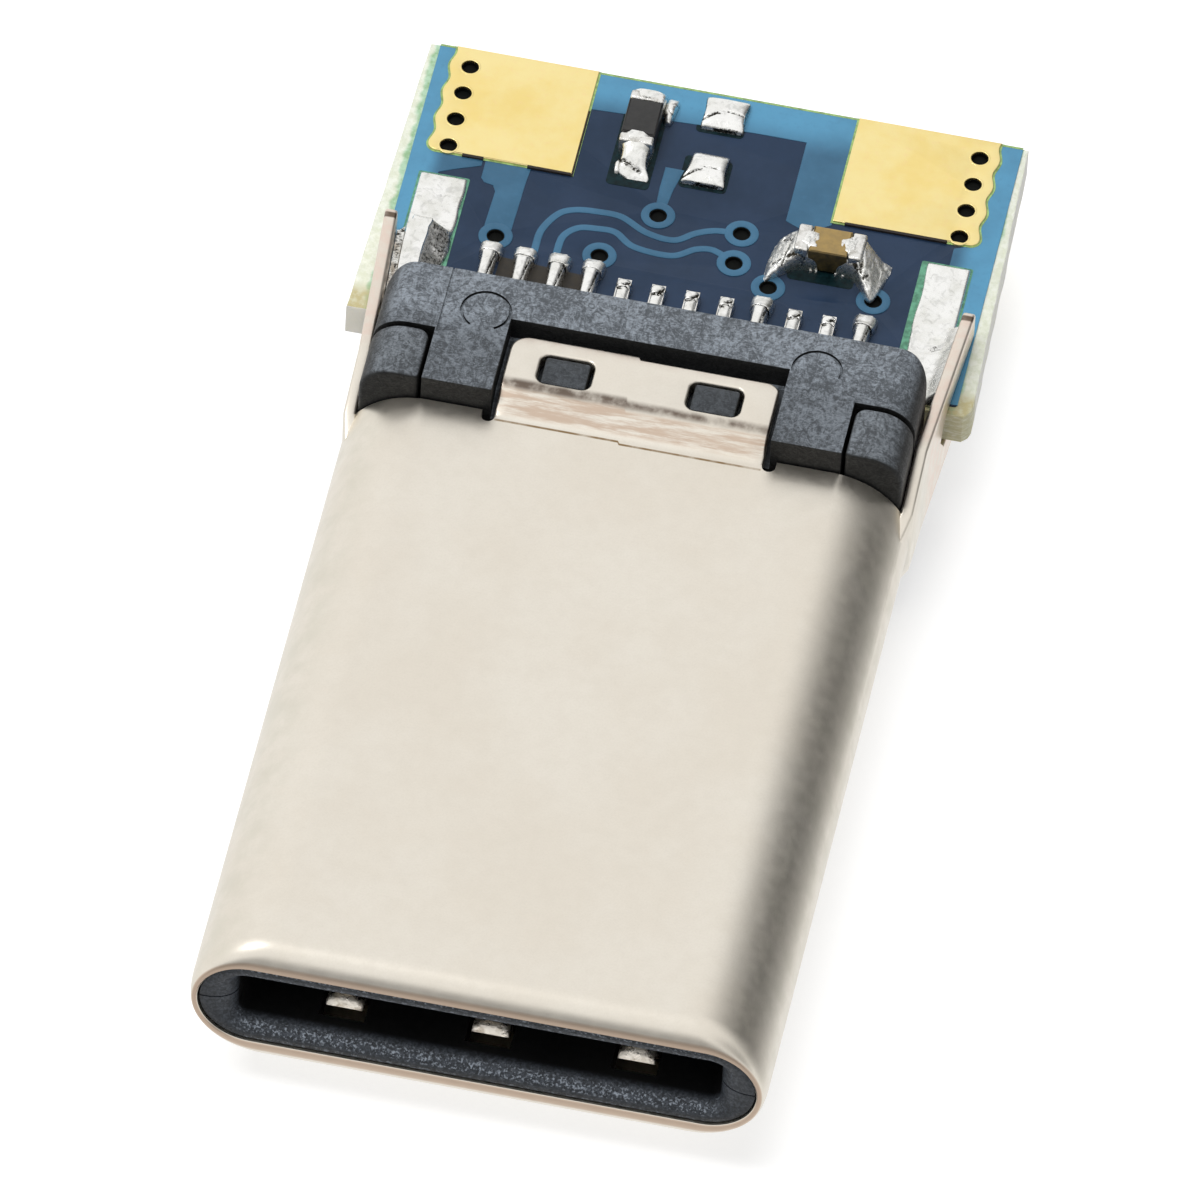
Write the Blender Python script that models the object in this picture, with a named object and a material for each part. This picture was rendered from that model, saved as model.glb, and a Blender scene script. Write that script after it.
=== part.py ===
"""USB type C plug soldered to its small circuit board.

Sizes are in millimetres in the plug's own frame: x to the right, y from the
mating face to the back, z up from the mid plane. An empty carries all pieces
and puts the middle of the bounding box on x = y = 0, with the underside on
z = 0. The plug looks the same after half a turn about y, so each piece below
the mid plane shares the mesh of the one above it, turned.
"""
import math

import bmesh
import bpy
from mathutils import Matrix, Vector

MM = 0.001

# Clearances: between pieces that touch, round a lead, and past a face that a cutter goes through
FIT = 0.02
LEAD_GAP = 0.015
PAST = 0.3

# Shell: a tube with a drawn-in nose, two raised tabs and two forked side legs
SHELL_W = 8.25
SHELL_H = 2.40
SHELL_LEN = 10.55
WALL = 0.25
NOSE_DROP = 0.36
NOSE_SIDE = 0.07
NOSE_LIP = 0.06
TAB_W = 3.90
TAB_RISE = 0.30
TAB_SLOPE = 0.42
TAB_LEN = 1.25
TAB_CORNER = 0.24
TAB_FOOT = 0.08
WINDOW_W = 0.95
WINDOW_L = 0.55
WINDOW_PITCH = 2.17
WINDOW_CORNER = 0.14
RELIEF_R = 0.10
LEG_T = 0.18
LEG_H = 1.70
LEG_INSET = 0.16
LEG_SPLAY = 0.18
LEG_REACH = 1.53
LEG_ROOT_LEN = 0.30
LEG_ROOT_H = 1.00
LEG_NECK_H = 1.24
LEG_TIP = 0.20
LEG_TIP_CUT = 0.11
SLIT_GAP = 0.03
SLIT_NOSE = 0.24

# Mouth and the housing round it
RING_RECESS = 0.05
RING_LAND = 0.10
MOUTH_DEPTH = 6.60
MOUTH_SIDE = 0.405
MOUTH_LIP = 0.48
MOUTH_R = 0.14
MOUTH_ROUND = 0.28
SLOT_GAP = 0.03
SLOT_SINK = 0.15
SLOT_AHEAD = 0.45
SLOT_ROOM = 0.22

# Ground springs behind the lips of the mouth
SPRING_T = 0.08
SPRING_W = 0.56
SPRING_PITCH = 2.09
SPRING_MID = 0.13
SPRING_Y = 1.24
SPRING_CREST = 0.85
SPRING_TIP = 0.68
SPRING_PROUD = 0.12
BAR_L = 0.38
BAR_END = 0.38
ROOM_GAP = 0.05
ROOM_AHEAD = 0.22
ROOM_BEHIND = 0.21

# Latch plate in the mid plane
LATCH_T = 0.14
LATCH_SIDE = 0.23
HOOK_REACH = 0.27
HOOK_Y = 2.05

# Contacts, twelve ways above and twelve below
WAYS = 12
PITCH = 0.50
LEAD_W = 0.20
LEAD_T = 0.12
BEAM_LEN = 4.40
BEAM_RISE = 0.20
LONG_TAIL = 1.56
MIDDLE_TAIL = 1.44
SHORT_TAIL = 1.30

# Rear housing with its two arms, and the corner blocks beside them
COLLAR_STEP = 0.42
COLLAR_LEN = 2.14
COLLAR_ROUND = 0.50
COLLAR_CORNER = 0.34
COLLAR_GAP = 0.03
LEG_GAP = 0.015
ARM_LEN = 0.98
ARM_W = 1.02
ARM_CHAMFER = 0.07
POCKET_SIDE = 0.08
POCKET_END = 0.16
POCKET_GAP = 0.025
CORE_LEN = 0.68
CORE_SIDE = 0.355
CORE_GAP = 0.05
BLOCK_GAP = 0.08
BLOCK_END = 0.06
BLOCK_CORNER = 0.18
BOSS_SIDE = 0.12
BOSS_END = 0.07
BOSS_SINK = 0.04
MARK_R = 0.36
MARK_W = 0.04
MARK_IN = 0.38
MARK_BACK = 0.69

# Circuit board
BOARD_GAP = 0.08
BOARD_LEN = 5.23
BOARD_T = 0.60
BOARD_OVER = 0.615
BOARD_TAPER = 0.15
CORNER_CUT = 0.12
HOLE_R = 0.125
PAD_T = 0.04
PAD_W = 2.085
PAD_LEN = 2.04
PAD_EDGE = 0.425
PAD_HOLES = 4
PAD_HOLE_IN = 0.245
PAD_HOLE_REAR = 0.35
PAD_HOLE_WEB = 0.015
SCALLOP_R = 0.31
# Small holes, as x and distance behind the board's front edge
VIAS = ((-2.75, 1.79), (-1.22, 1.77), (-0.55, 2.72), (0.69, 2.66), (0.69, 2.08), (1.26, 1.74), (2.78, 1.84))

# Chip parts and solder, placed by x and distance behind the board's front edge
CHIP_L = 1.00
CHIP_W = 0.50
CHIP_LIFT = 0.03
RESISTOR_AT = (-1.10, 4.22)
RESISTOR_H = 0.33
RESISTOR_CAP = 0.17
CAPACITOR_AT = (2.02, 2.45)
CAPACITOR_H = 0.40
CAPACITOR_CAP = 0.215
BLANK_PADS_AT = (("rear", 0.03, 4.80), ("front", -0.01, 3.70))
BLANK_PAD_W = 0.58
BLANK_PAD_H = 0.17
SOLDER_LIFT = 0.004
SOLDER_GAP = 0.006
SOLDER_SINK = 0.03
LEG_PAD_W = 0.55
LEG_PAD_TAIL = 1.21
LEG_PAD_PAST = 0.11
LEG_FILLET_H = 0.44

# Places that follow from the sizes above
HALF_W = SHELL_W / 2
HALF_H = SHELL_H / 2
INNER_W = HALF_W - WALL - FIT
INNER_H = HALF_H - WALL - FIT
NOSE_X = HALF_W - NOSE_SIDE - NOSE_LIP
NOSE_Z = HALF_H - NOSE_DROP - NOSE_LIP
NOSE_END = NOSE_DROP + NOSE_LIP
MOUTH_X = INNER_W - MOUTH_SIDE
MOUTH_Z = INNER_H - MOUTH_LIP
TAB_Z = HALF_H + TAB_RISE
TAB_FLAT = SHELL_LEN - TAB_FOOT + TAB_SLOPE
TAB_END = SHELL_LEN + TAB_LEN
WINDOW_Y = (TAB_FLAT + TAB_END) / 2 - TAB_FOOT
LEG_IN = HALF_W - LEG_INSET
COLLAR_X = LEG_IN - LEG_GAP
COLLAR_Z = HALF_H + COLLAR_STEP
COLLAR_Y = SHELL_LEN + COLLAR_GAP
STEP_Y = COLLAR_Y + ARM_LEN
COLLAR_END = COLLAR_Y + COLLAR_LEN
ARM_X = TAB_W / 2 + POCKET_SIDE
ARM_OUT = ARM_X + ARM_W
CORE_Y = COLLAR_Y - CORE_LEN
CARRIER_Y = MOUTH_DEPTH + FIT
CARRIER_END = CORE_Y - CORE_GAP
BOARD_Y = COLLAR_END + BOARD_GAP
BOARD_END = BOARD_Y + BOARD_LEN
BOARD_TOP = BOARD_T / 2
BOARD_X_FRONT = LEG_IN + BOARD_OVER
BOARD_X_REAR = BOARD_X_FRONT - BOARD_TAPER
PAD_OUT = BOARD_X_REAR - PAD_EDGE
PAD_IN = PAD_OUT - PAD_W
PAD_FRONT = BOARD_END - PAD_LEN
LEG_END = BOARD_Y + LEG_REACH
LEAD_Z = BOARD_TOP + FIT + LEAD_T / 2
BEAM_Y = MOUTH_DEPTH - 0.05


def new_material(name, color, metallic, roughness):
    mat = bpy.data.materials.new(name)
    mat.use_nodes = True
    node = mat.node_tree.nodes["Principled BSDF"]
    node.inputs["Base Color"].default_value = (*color, 1.0)
    node.inputs["Metallic"].default_value = metallic
    node.inputs["Roughness"].default_value = roughness
    mat.diffuse_color = (*color, 1.0)
    return mat


# Shapes, described in millimetres and made in metres

def to_object(bm):
    bmesh.ops.recalc_face_normals(bm, faces=bm.faces)
    bmesh.ops.scale(bm, vec=(MM, MM, MM), verts=bm.verts)
    for face in bm.faces:
        face.smooth = False
    mesh = bpy.data.meshes.new("shape")
    bm.to_mesh(mesh)
    bm.free()
    return bpy.data.objects.new("shape", mesh)


def boxes(*limits):
    """One or more boxes, each given as x0, x1, y0, y1, z0, z1."""
    bm = bmesh.new()
    for x0, x1, y0, y1, z0, z1 in limits:
        middle = Vector((x0 + x1, y0 + y1, z0 + z1)) / 2
        size = Matrix.Diagonal((x1 - x0, y1 - y0, z1 - z0, 1.0))
        bmesh.ops.create_cube(bm, size=1.0, matrix=Matrix.Translation(middle) @ size)
    return to_object(bm)


def plate(outlines, axis, low, high):
    """Flat outlines, the first filled and the rest holes, extruded along an axis.

    The two coordinates of an outline are those of the other axes, in the order x, y, z.
    """
    curve = bpy.data.curves.new("outline", "CURVE")
    curve.dimensions = "2D"
    curve.fill_mode = "BOTH"
    curve.extrude = (high - low) / 2
    for points in outlines:
        spline = curve.splines.new("POLY")
        spline.points.add(len(points) - 1)
        for knot, (u, v) in zip(spline.points, points):
            knot.co = (u, v, 0.0, 1.0)
        spline.use_cyclic_u = True
    guide = bpy.data.objects.new("outline", curve)
    CUTTERS.objects.link(guide)
    deps = bpy.context.evaluated_depsgraph_get()
    mesh = bpy.data.meshes.new_from_object(guide.evaluated_get(deps))
    bpy.data.objects.remove(guide)
    bm = bmesh.new()
    bm.from_mesh(mesh)
    bpy.data.meshes.remove(mesh)
    bmesh.ops.remove_doubles(bm, verts=bm.verts, dist=0.0001)
    for v in bm.verts:
        place = [v.co.x, v.co.y]
        place.insert("xyz".index(axis), v.co.z + (low + high) / 2)
        v.co = place
    return to_object(bm)


def loft(rings, closed_path=False):
    """Skin over rings of points; the end rings are capped unless the path closes."""
    bm = bmesh.new()
    loops = [[bm.verts.new(p) for p in ring] for ring in rings]
    pairs = list(zip(loops, loops[1:]))
    if closed_path:
        pairs.append((loops[-1], loops[0]))
    else:
        bm.faces.new(loops[0])
        bm.faces.new(loops[-1])
    for a, b in pairs:
        for i in range(len(a)):
            j = (i + 1) % len(a)
            bm.faces.new((a[i], a[j], b[j], b[i]))
    return to_object(bm)


def section(points, y):
    return [(x, y, z) for x, z in points]


def arc(cx, cy, r, start, end, steps):
    angles = [math.radians(start + (end - start) * i / steps) for i in range(steps + 1)]
    return [(cx + r * math.cos(a), cy + r * math.sin(a)) for a in angles]


def circle(cx, cy, r, steps=12):
    return arc(cx, cy, r, 0, 360, steps)[:-1]


def stadium(half_w, half_h, steps=12):
    c = half_w - half_h
    return arc(c, 0, half_h, -90, 90, steps) + arc(-c, 0, half_h, 90, 270, steps)


def rounded(x0, x1, y0, y1, radii, steps=4):
    """Rectangle with corner radii from the lower left one round to the upper left one."""
    corners = ((x0, y0, 180, 1, 1), (x1, y0, 270, -1, 1), (x1, y1, 0, -1, -1), (x0, y1, 90, 1, -1))
    points = []
    for (cx, cy, start, sx, sy), r in zip(corners, radii):
        points += arc(cx + sx * r, cy + sy * r, r, start, start + 90, steps) if r else [(cx, cy)]
    return points


def mirrored_box(half_x, half_y, r, steps=4):
    return rounded(-half_x, half_x, -half_y, half_y, (r,) * 4, steps)


def corner_waste(x, y, r, side, steps=5):
    """What rounding with radius r takes off a corner at x, y that points to side and +y."""
    edge = arc(0, 0, r, 0, 90, steps) + [(0, 2 * r), (2 * r, 2 * r), (2 * r, 0)]
    return [(x + side * (u - r), y + v - r) for u, v in edge]


def strip_outline(path, thick):
    """Outline of a strip of even thickness along a path of y, z points."""
    over, under = [], []
    for k, (y, z) in enumerate(path):
        before, after = path[max(k - 1, 0)], path[min(k + 1, len(path) - 1)]
        along = Vector((after[0] - before[0], after[1] - before[1])).normalized() * thick / 2
        over.append((y - along.y, z + along.x))
        under.append((y + along.y, z - along.x))
    return over + under[::-1]


# Joining, cutting and naming

def combine(target, tool, operation, both):
    """Live Boolean with a tool, and with the same tool after half a turn about y."""
    tools = [tool]
    if both:
        twin = bpy.data.objects.new(tool.name, tool.data)
        twin.rotation_euler.y = math.pi
        tools.append(twin)
    for each in tools:
        each.parent = FRAME
        each.hide_render = True
        each.display_type = "WIRE"
        CUTTERS.objects.link(each)
        step = target.modifiers.new(operation.lower(), "BOOLEAN")
        step.operation = operation
        step.solver = "EXACT"
        step.object = each


def cut(target, tool, both=False):
    combine(target, tool, "DIFFERENCE", both)


def join(target, tool, both=False):
    combine(target, tool, "UNION", both)


def finish(name, obj, mat, smooth_under=35):
    """Name a piece, give it its material and shade what is round as round."""
    obj.name = name
    obj.data.name = name
    obj.data.materials.append(mat)
    obj.data.shade_smooth()
    obj.data.set_sharp_from_angle(angle=math.radians(smooth_under))
    obj.parent = FRAME
    PARTS.objects.link(obj)
    return obj


def copy_of(obj, name, x=0.0, below=False):
    """A further piece with the same uncut mesh, moved along x or half a turn round y."""
    twin = bpy.data.objects.new(name, obj.data)
    twin.parent = FRAME
    twin.location.x = x * MM
    if below:
        twin.rotation_euler.y = math.pi
    PARTS.objects.link(twin)
    return twin


def lead_x(i):
    return (i - (WAYS - 1) / 2) * PITCH


def lead_channels(y0, y1):
    half = LEAD_W / 2 + LEAD_GAP
    deep = LEAD_T / 2 + LEAD_GAP
    return boxes(*[(lead_x(i) - half, lead_x(i) + half, y0, y1, LEAD_Z - deep, LEAD_Z + deep)
                   for i in range(WAYS)])


def leg_face(y):
    """Inner face of the right leg, which splays outward behind the arms."""
    return LEG_IN + LEG_SPLAY * max(y - STEP_Y, 0.0) / (LEG_END - STEP_Y)


def add_tabs(shell):
    """Two tabs that step up behind the tube and run back over the rear housing."""
    for side in (-1, 1):
        x = side * (TAB_W / 2 + RELIEF_R - 0.01)
        end = SHELL_LEN - RELIEF_R
        slot = arc(x, end, RELIEF_R, 180, 360, 6) + [(x + RELIEF_R, TAB_END), (x - RELIEF_R, TAB_END)]
        cut(shell, plate([slot], "z", HALF_H - WALL - PAST, TAB_Z), both=True)
    root = SHELL_LEN - TAB_FOOT - WALL
    low = HALF_H - WALL + FIT
    top = HALF_H - 0.005
    profile = [(root, low), (SHELL_LEN - 0.05, low), (TAB_FLAT + 0.05, TAB_Z - WALL), (TAB_END, TAB_Z - WALL),
               (TAB_END, TAB_Z), (TAB_FLAT - 0.03, TAB_Z), (SHELL_LEN - TAB_FOOT, top), (root, top)]
    join(shell, plate([profile], "x", -TAB_W / 2, TAB_W / 2), both=True)
    for side in (-1, 1):
        x = side * WINDOW_PITCH / 2
        window = rounded(x - WINDOW_W / 2, x + WINDOW_W / 2, WINDOW_Y - WINDOW_L / 2, WINDOW_Y + WINDOW_L / 2,
                         (WINDOW_CORNER,) * 4)
        corner = corner_waste(side * TAB_W / 2, TAB_END, TAB_CORNER, side)
        for outline in (window, corner):
            cut(shell, plate([outline], "z", HALF_H + FIT, TAB_Z + PAST), both=True)


def add_legs(shell):
    """Two side legs, slit along the middle to take the board's edges."""
    root = HALF_W - WALL + 2 * FIT
    bend, half = LEG_END - LEG_TIP, LEG_H / 2
    stations = ((SHELL_LEN - LEG_ROOT_LEN, root, LEG_ROOT_H / 2), (SHELL_LEN - FIT, LEG_IN, LEG_NECK_H / 2),
                (STEP_Y, LEG_IN, half), (bend, leg_face(bend), half),
                (LEG_END - LEG_TIP / 3, leg_face(LEG_END - LEG_TIP / 3), half - LEG_TIP_CUT / 4),
                (LEG_END, leg_face(LEG_END), half - LEG_TIP_CUT))
    rings = [section([(x, -high), (x + LEG_T, -high), (x + LEG_T, high), (x, high)], y)
             for y, x, high in stations]
    join(shell, loft(rings), both=True)
    slit = BOARD_TOP + SLIT_GAP
    start, end = BOARD_Y - 2 * SLIT_GAP, LEG_END + PAST
    outline = [(start - SLIT_NOSE, 0.0), (start, slit), (end, slit), (end, -slit), (start, -slit)]
    cut(shell, plate([outline], "x", LEG_IN - PAST, LEG_IN + LEG_T + LEG_SPLAY + PAST), both=True)


def make_shell(mat):
    """Tube whose nose is drawn in, more above and below than at the ends."""
    rings = [section(stadium(HALF_W, HALF_H), SHELL_LEN)]
    for turn in range(0, 91, 15):
        a = math.radians(turn)
        drawn = 1 - math.cos(a)
        outline = stadium(HALF_W - NOSE_SIDE * drawn, HALF_H - NOSE_DROP * drawn)
        rings.append(section(outline, NOSE_DROP * (1 - math.sin(a))))
    opening = stadium(NOSE_X, NOSE_Z)
    inside = stadium(HALF_W - WALL, HALF_H - WALL)
    rings += [section(opening, 0.0), section(opening, WALL)]
    rings += [section(inside, NOSE_END), section(inside, SHELL_LEN)]
    shell = finish("shell", loft(rings, closed_path=True), mat)
    add_tabs(shell)
    add_legs(shell)


def mouth_cutter():
    """The mouth, whose edge is rounded over towards a narrow flat land in front."""
    wide_x, wide_z = NOSE_X - FIT - RING_LAND, NOSE_Z - FIT - RING_LAND
    front = mirrored_box(wide_x, wide_z, wide_z - FIT, 6)
    rings = [section(front, RING_RECESS - PAST)]
    for turn in range(0, 91, 18):
        a = math.radians(turn)
        share = 1 - math.sin(a)
        outline = mirrored_box(MOUTH_X + (wide_x - MOUTH_X) * share, MOUTH_Z + (wide_z - MOUTH_Z) * share,
                               MOUTH_R + (wide_z - FIT - MOUTH_R) * share, 6)
        rings.append(section(outline, RING_RECESS + MOUTH_ROUND * (1 - math.cos(a))))
    rings.append(section(mirrored_box(MOUTH_X, MOUTH_Z, MOUTH_R, 6), MOUTH_DEPTH + PAST))
    return loft(rings)


def make_front_housing(mat):
    nose, full = stadium(NOSE_X - FIT, NOSE_Z - FIT), stadium(INNER_W, INNER_H)
    body = loft([section(nose, RING_RECESS), section(nose, WALL), section(full, NOSE_END),
                 section(full, MOUTH_DEPTH)])
    finish("front_housing", body, mat)
    cut(body, mouth_cutter())

    # Slots that the contact beams spring back into
    half = LEAD_W / 2 + SLOT_GAP
    start, end = BEAM_Y - BEAM_LEN - SLOT_AHEAD, MOUTH_DEPTH + PAST
    floor, roof = MOUTH_Z - SLOT_SINK, LEAD_Z + BEAM_RISE + SLOT_ROOM
    cut(body, boxes(*[(lead_x(i) - half, lead_x(i) + half, start, end, floor, roof)
                      for i in range(WAYS)]), both=True)

    # Rooms for the ground springs, open to the mouth and outward
    half = SPRING_W / 2 + ROOM_GAP
    start, end = SPRING_TIP - ROOM_AHEAD, SPRING_Y + ROOM_BEHIND
    cut(body, boxes(*[(x - half, x + half, start, end, floor, INNER_H + PAST)
                      for x in spring_places()]), both=True)
    half = bar_half() + ROOM_GAP
    cut(body, boxes((SPRING_MID - half, SPRING_MID + half, SPRING_Y - 2 * FIT, SPRING_Y + BAR_L + 2 * FIT,
                     INNER_H - SPRING_T - FIT, INNER_H + PAST)), both=True)

    # Side slots for the legs of the latch plate
    half = LATCH_T / 2 + SLOT_GAP
    inner, outer = MOUTH_X - SLOT_SINK, MOUTH_X + LATCH_SIDE + 2 * FIT
    cut(body, boxes((inner, outer, HOOK_Y - SLOT_SINK, MOUTH_DEPTH + PAST, -half, half)), both=True)


def make_carriers(mat):
    """Two half rounds behind the mouth that hold the contact leads."""
    low = LATCH_T / 2 + FIT
    tilt = math.degrees(math.asin(low / INNER_H))
    c = INNER_W - INNER_H
    half = arc(c, 0, INNER_H, tilt, 90, 6) + arc(-c, 0, INNER_H, 90, 180 - tilt, 6)
    top = finish("contact_carrier_top", plate([half], "y", CARRIER_Y, CARRIER_END), mat)
    cut(top, lead_channels(CARRIER_Y - PAST, CARRIER_END + PAST))
    lower_half = [(-x, -z) for x, z in half]
    turned = finish("contact_carrier_bottom", plate([lower_half], "y", CARRIER_Y, CARRIER_END), mat)
    channels = lead_channels(CARRIER_Y - PAST, CARRIER_END + PAST)
    channels.rotation_euler.y = math.pi
    cut(turned, channels)


def make_latch(mat):
    """U-shaped plate whose two legs end in the hooks inside the mouth."""
    edge, inner = MOUTH_X + LATCH_SIDE, MOUTH_X - 0.01
    tip = inner - HOOK_REACH
    right = [(edge, CARRIER_END - 0.05), (edge, HOOK_Y + 0.20), (edge - 0.12, HOOK_Y), (inner, HOOK_Y),
             (tip, HOOK_Y + 0.40), (tip, HOOK_Y + 0.57), (inner - 0.04, HOOK_Y + 0.90),
             (inner, MOUTH_DEPTH - 0.50), (inner - 0.34, CARRIER_Y), (inner - 0.84, CARRIER_Y)]
    outline = right + [(-x, y) for x, y in reversed(right)]
    finish("latch_plate", plate([outline], "z", -LATCH_T / 2, LATCH_T / 2), mat)


def spring_places():
    return [SPRING_MID + k * SPRING_PITCH for k in (-1, 0, 1)]


def bar_half():
    return SPRING_PITCH + SPRING_W / 2 + BAR_END


def spring_path():
    """From the bar forward, down into the mouth to the crest and back up to the free tip."""
    high = INNER_H - SPRING_T / 2
    low = MOUTH_Z - SPRING_PROUD + SPRING_T / 2
    lean = SPRING_Y - SPRING_CREST
    middle = (SPRING_CREST + SPRING_TIP) / 2
    return ((SPRING_Y + 0.4 * BAR_L, high), (SPRING_Y - FIT, high), (SPRING_Y - 0.32 * lean, high - SPRING_T),
            (SPRING_CREST + 0.38 * lean, low + 1.6 * SPRING_T),
            (SPRING_CREST + 0.18 * lean, low + 0.25 * SPRING_T), (SPRING_CREST, low),
            (middle, low + 0.5 * SPRING_T), (SPRING_TIP, low + 1.4 * SPRING_T))


def make_ground_springs(mat):
    half = bar_half()
    bar = (SPRING_MID - half, SPRING_MID + half, SPRING_Y, SPRING_Y + BAR_L, INNER_H - SPRING_T, INNER_H)
    top = finish("ground_spring_top", boxes(bar), mat)
    turned_bar = boxes((-bar[1], -bar[0], bar[2], bar[3], -bar[5], -bar[4]))
    bottom = finish("ground_spring_bottom", turned_bar, mat)
    for x in spring_places():
        for target, sign in ((top, 1), (bottom, -1)):
            outline = [(y, sign * z) for y, z in strip_outline(spring_path(), SPRING_T)]
            centre = sign * x
            join(target, plate([outline], "x", centre - SPRING_W / 2, centre + SPRING_W / 2))


def contact_path(tail):
    """From the tip on the board forward, then the beam's bow and its rounded nose."""
    bow = ((0.08, 0.45), (0.22, 1.0), (0.49, 0.95), (0.74, 0.30), (0.82, -0.15), (0.875, -0.25), (0.93, 0.0),
           (1.0, 1.0))
    lead = [(BOARD_Y + tail, LEAD_Z), (MOUTH_DEPTH + 0.2, LEAD_Z), (BEAM_Y, LEAD_Z)]
    return lead + [(BEAM_Y - along * BEAM_LEN, LEAD_Z + rise * BEAM_RISE) for along, rise in bow]


def tail_length(i):
    if i < 4:
        return LONG_TAIL
    return MIDDLE_TAIL if i in (8, 11) else SHORT_TAIL


def make_contacts(mat):
    shapes = {}
    for i in range(WAYS):
        tail = tail_length(i)
        name = "contact_top_%02d" % (i + 1)
        if tail in shapes:
            top = copy_of(shapes[tail], name, lead_x(i))
        else:
            strip = strip_outline(contact_path(tail), LEAD_T)
            top = finish(name, plate([strip], "x", -LEAD_W / 2, LEAD_W / 2), mat)
            top.location.x = lead_x(i) * MM
            shapes[tail] = top
        copy_of(top, "contact_bottom_%02d" % (i + 1), -lead_x(i), below=True)


def add_front_arms(body):
    """Block with chamfered front edges, and the core that plugs into the shell."""
    slim = mirrored_box(ARM_OUT, COLLAR_Z - ARM_CHAMFER, 0)
    full = mirrored_box(ARM_OUT, COLLAR_Z, 0)
    join(body, loft([section(slim, COLLAR_Y), section(full, COLLAR_Y + ARM_CHAMFER),
                     section(full, STEP_Y + PAST)]))
    half = lead_x(WAYS - 1) + CORE_SIDE
    join(body, plate([stadium(half, INNER_H)], "y", CORE_Y, COLLAR_Y + PAST))


def add_pockets(body):
    """Recesses under the shell's tabs, with the bosses that stand in its windows."""
    floor = TAB_Z - WALL - POCKET_GAP
    low = INNER_H + 0.005
    start, end = CORE_Y + 0.4, TAB_END + POCKET_END
    pocket = [(start, low), (SHELL_LEN - 0.05, low), (TAB_FLAT + 0.05, floor), (end, floor),
              (end, COLLAR_Z + PAST), (start, COLLAR_Z + PAST)]
    cut(body, plate([pocket], "x", -ARM_X, ARM_X), both=True)
    half_x, half_y = WINDOW_W / 2 - BOSS_SIDE, WINDOW_L / 2 - BOSS_END
    bosses = [(x - half_x, x + half_x, WINDOW_Y - half_y, WINDOW_Y + half_y, floor - 0.1, TAB_Z - BOSS_SINK)
              for x in (-WINDOW_PITCH / 2, WINDOW_PITCH / 2)]
    join(body, boxes(*bosses), both=True)


def make_rear_housing(mat):
    body = plate([mirrored_box(COLLAR_X, COLLAR_Z, COLLAR_ROUND, 5)], "y", STEP_Y, COLLAR_END)
    finish("rear_housing", body, mat)
    for side in (-1, 1):
        corner = corner_waste(side * COLLAR_X, COLLAR_END, COLLAR_CORNER, side)
        cut(body, plate([corner], "z", -COLLAR_Z - PAST, COLLAR_Z + PAST))
    add_front_arms(body)
    add_pockets(body)
    cut(body, lead_channels(CORE_Y - PAST, COLLAR_END + PAST), both=True)
    for x in (-ARM_X - MARK_IN, ARM_X + MARK_IN):
        y = COLLAR_END - MARK_BACK
        half_ring = arc(x, y, MARK_R, 0, 180, 12) + arc(x, y, MARK_R - MARK_W, 180, 0, 12)
        cut(body, plate([half_ring], "z", COLLAR_Z - MARK_W, COLLAR_Z + PAST), both=True)


def make_corner_blocks(mat):
    inner, end = ARM_OUT + BLOCK_GAP, STEP_Y - BLOCK_END
    radii = (0, COLLAR_ROUND, COLLAR_ROUND, 0)
    slim = rounded(inner, COLLAR_X - 0.05, ARM_CHAMFER - COLLAR_Z, COLLAR_Z - ARM_CHAMFER, radii, 5)
    full = rounded(inner, COLLAR_X, -COLLAR_Z, COLLAR_Z, radii, 5)
    right = loft([section(slim, COLLAR_Y), section(full, COLLAR_Y + ARM_CHAMFER), section(full, end)])
    finish("corner_block_right", right, mat)
    corner = corner_waste(inner, end, BLOCK_CORNER, -1)
    cut(right, plate([corner], "z", -COLLAR_Z - PAST, COLLAR_Z + PAST))
    left = copy_of(right, "corner_block_left", below=True)
    mirrored = plate([[(-x, y) for x, y in corner]], "z", -COLLAR_Z - PAST, COLLAR_Z + PAST)
    cut(left, mirrored)


def pad_hole_places():
    rear = BOARD_END - PAD_HOLE_REAR
    front = PAD_FRONT + HOLE_R + PAD_HOLE_WEB
    return [(PAD_OUT - PAD_HOLE_IN, rear - (rear - front) * k / (PAD_HOLES - 1)) for k in range(PAD_HOLES)]


def make_board(mat):
    front, rear = BOARD_X_FRONT, BOARD_X_REAR
    outline = [(-front, BOARD_Y), (front - CORNER_CUT, BOARD_Y), (front, BOARD_Y + CORNER_CUT),
               (rear + CORNER_CUT / 2, BOARD_END - CORNER_CUT), (rear, BOARD_END), (-rear, BOARD_END)]
    holes = [(x, BOARD_Y + back) for x, back in VIAS]
    holes += [(side * x, y) for x, y in pad_hole_places() for side in (-1, 1)]
    body = plate([outline] + [circle(x, y, HOLE_R) for x, y in holes], "z", -BOARD_TOP, BOARD_TOP)
    finish("circuit_board", body, mat)


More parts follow.
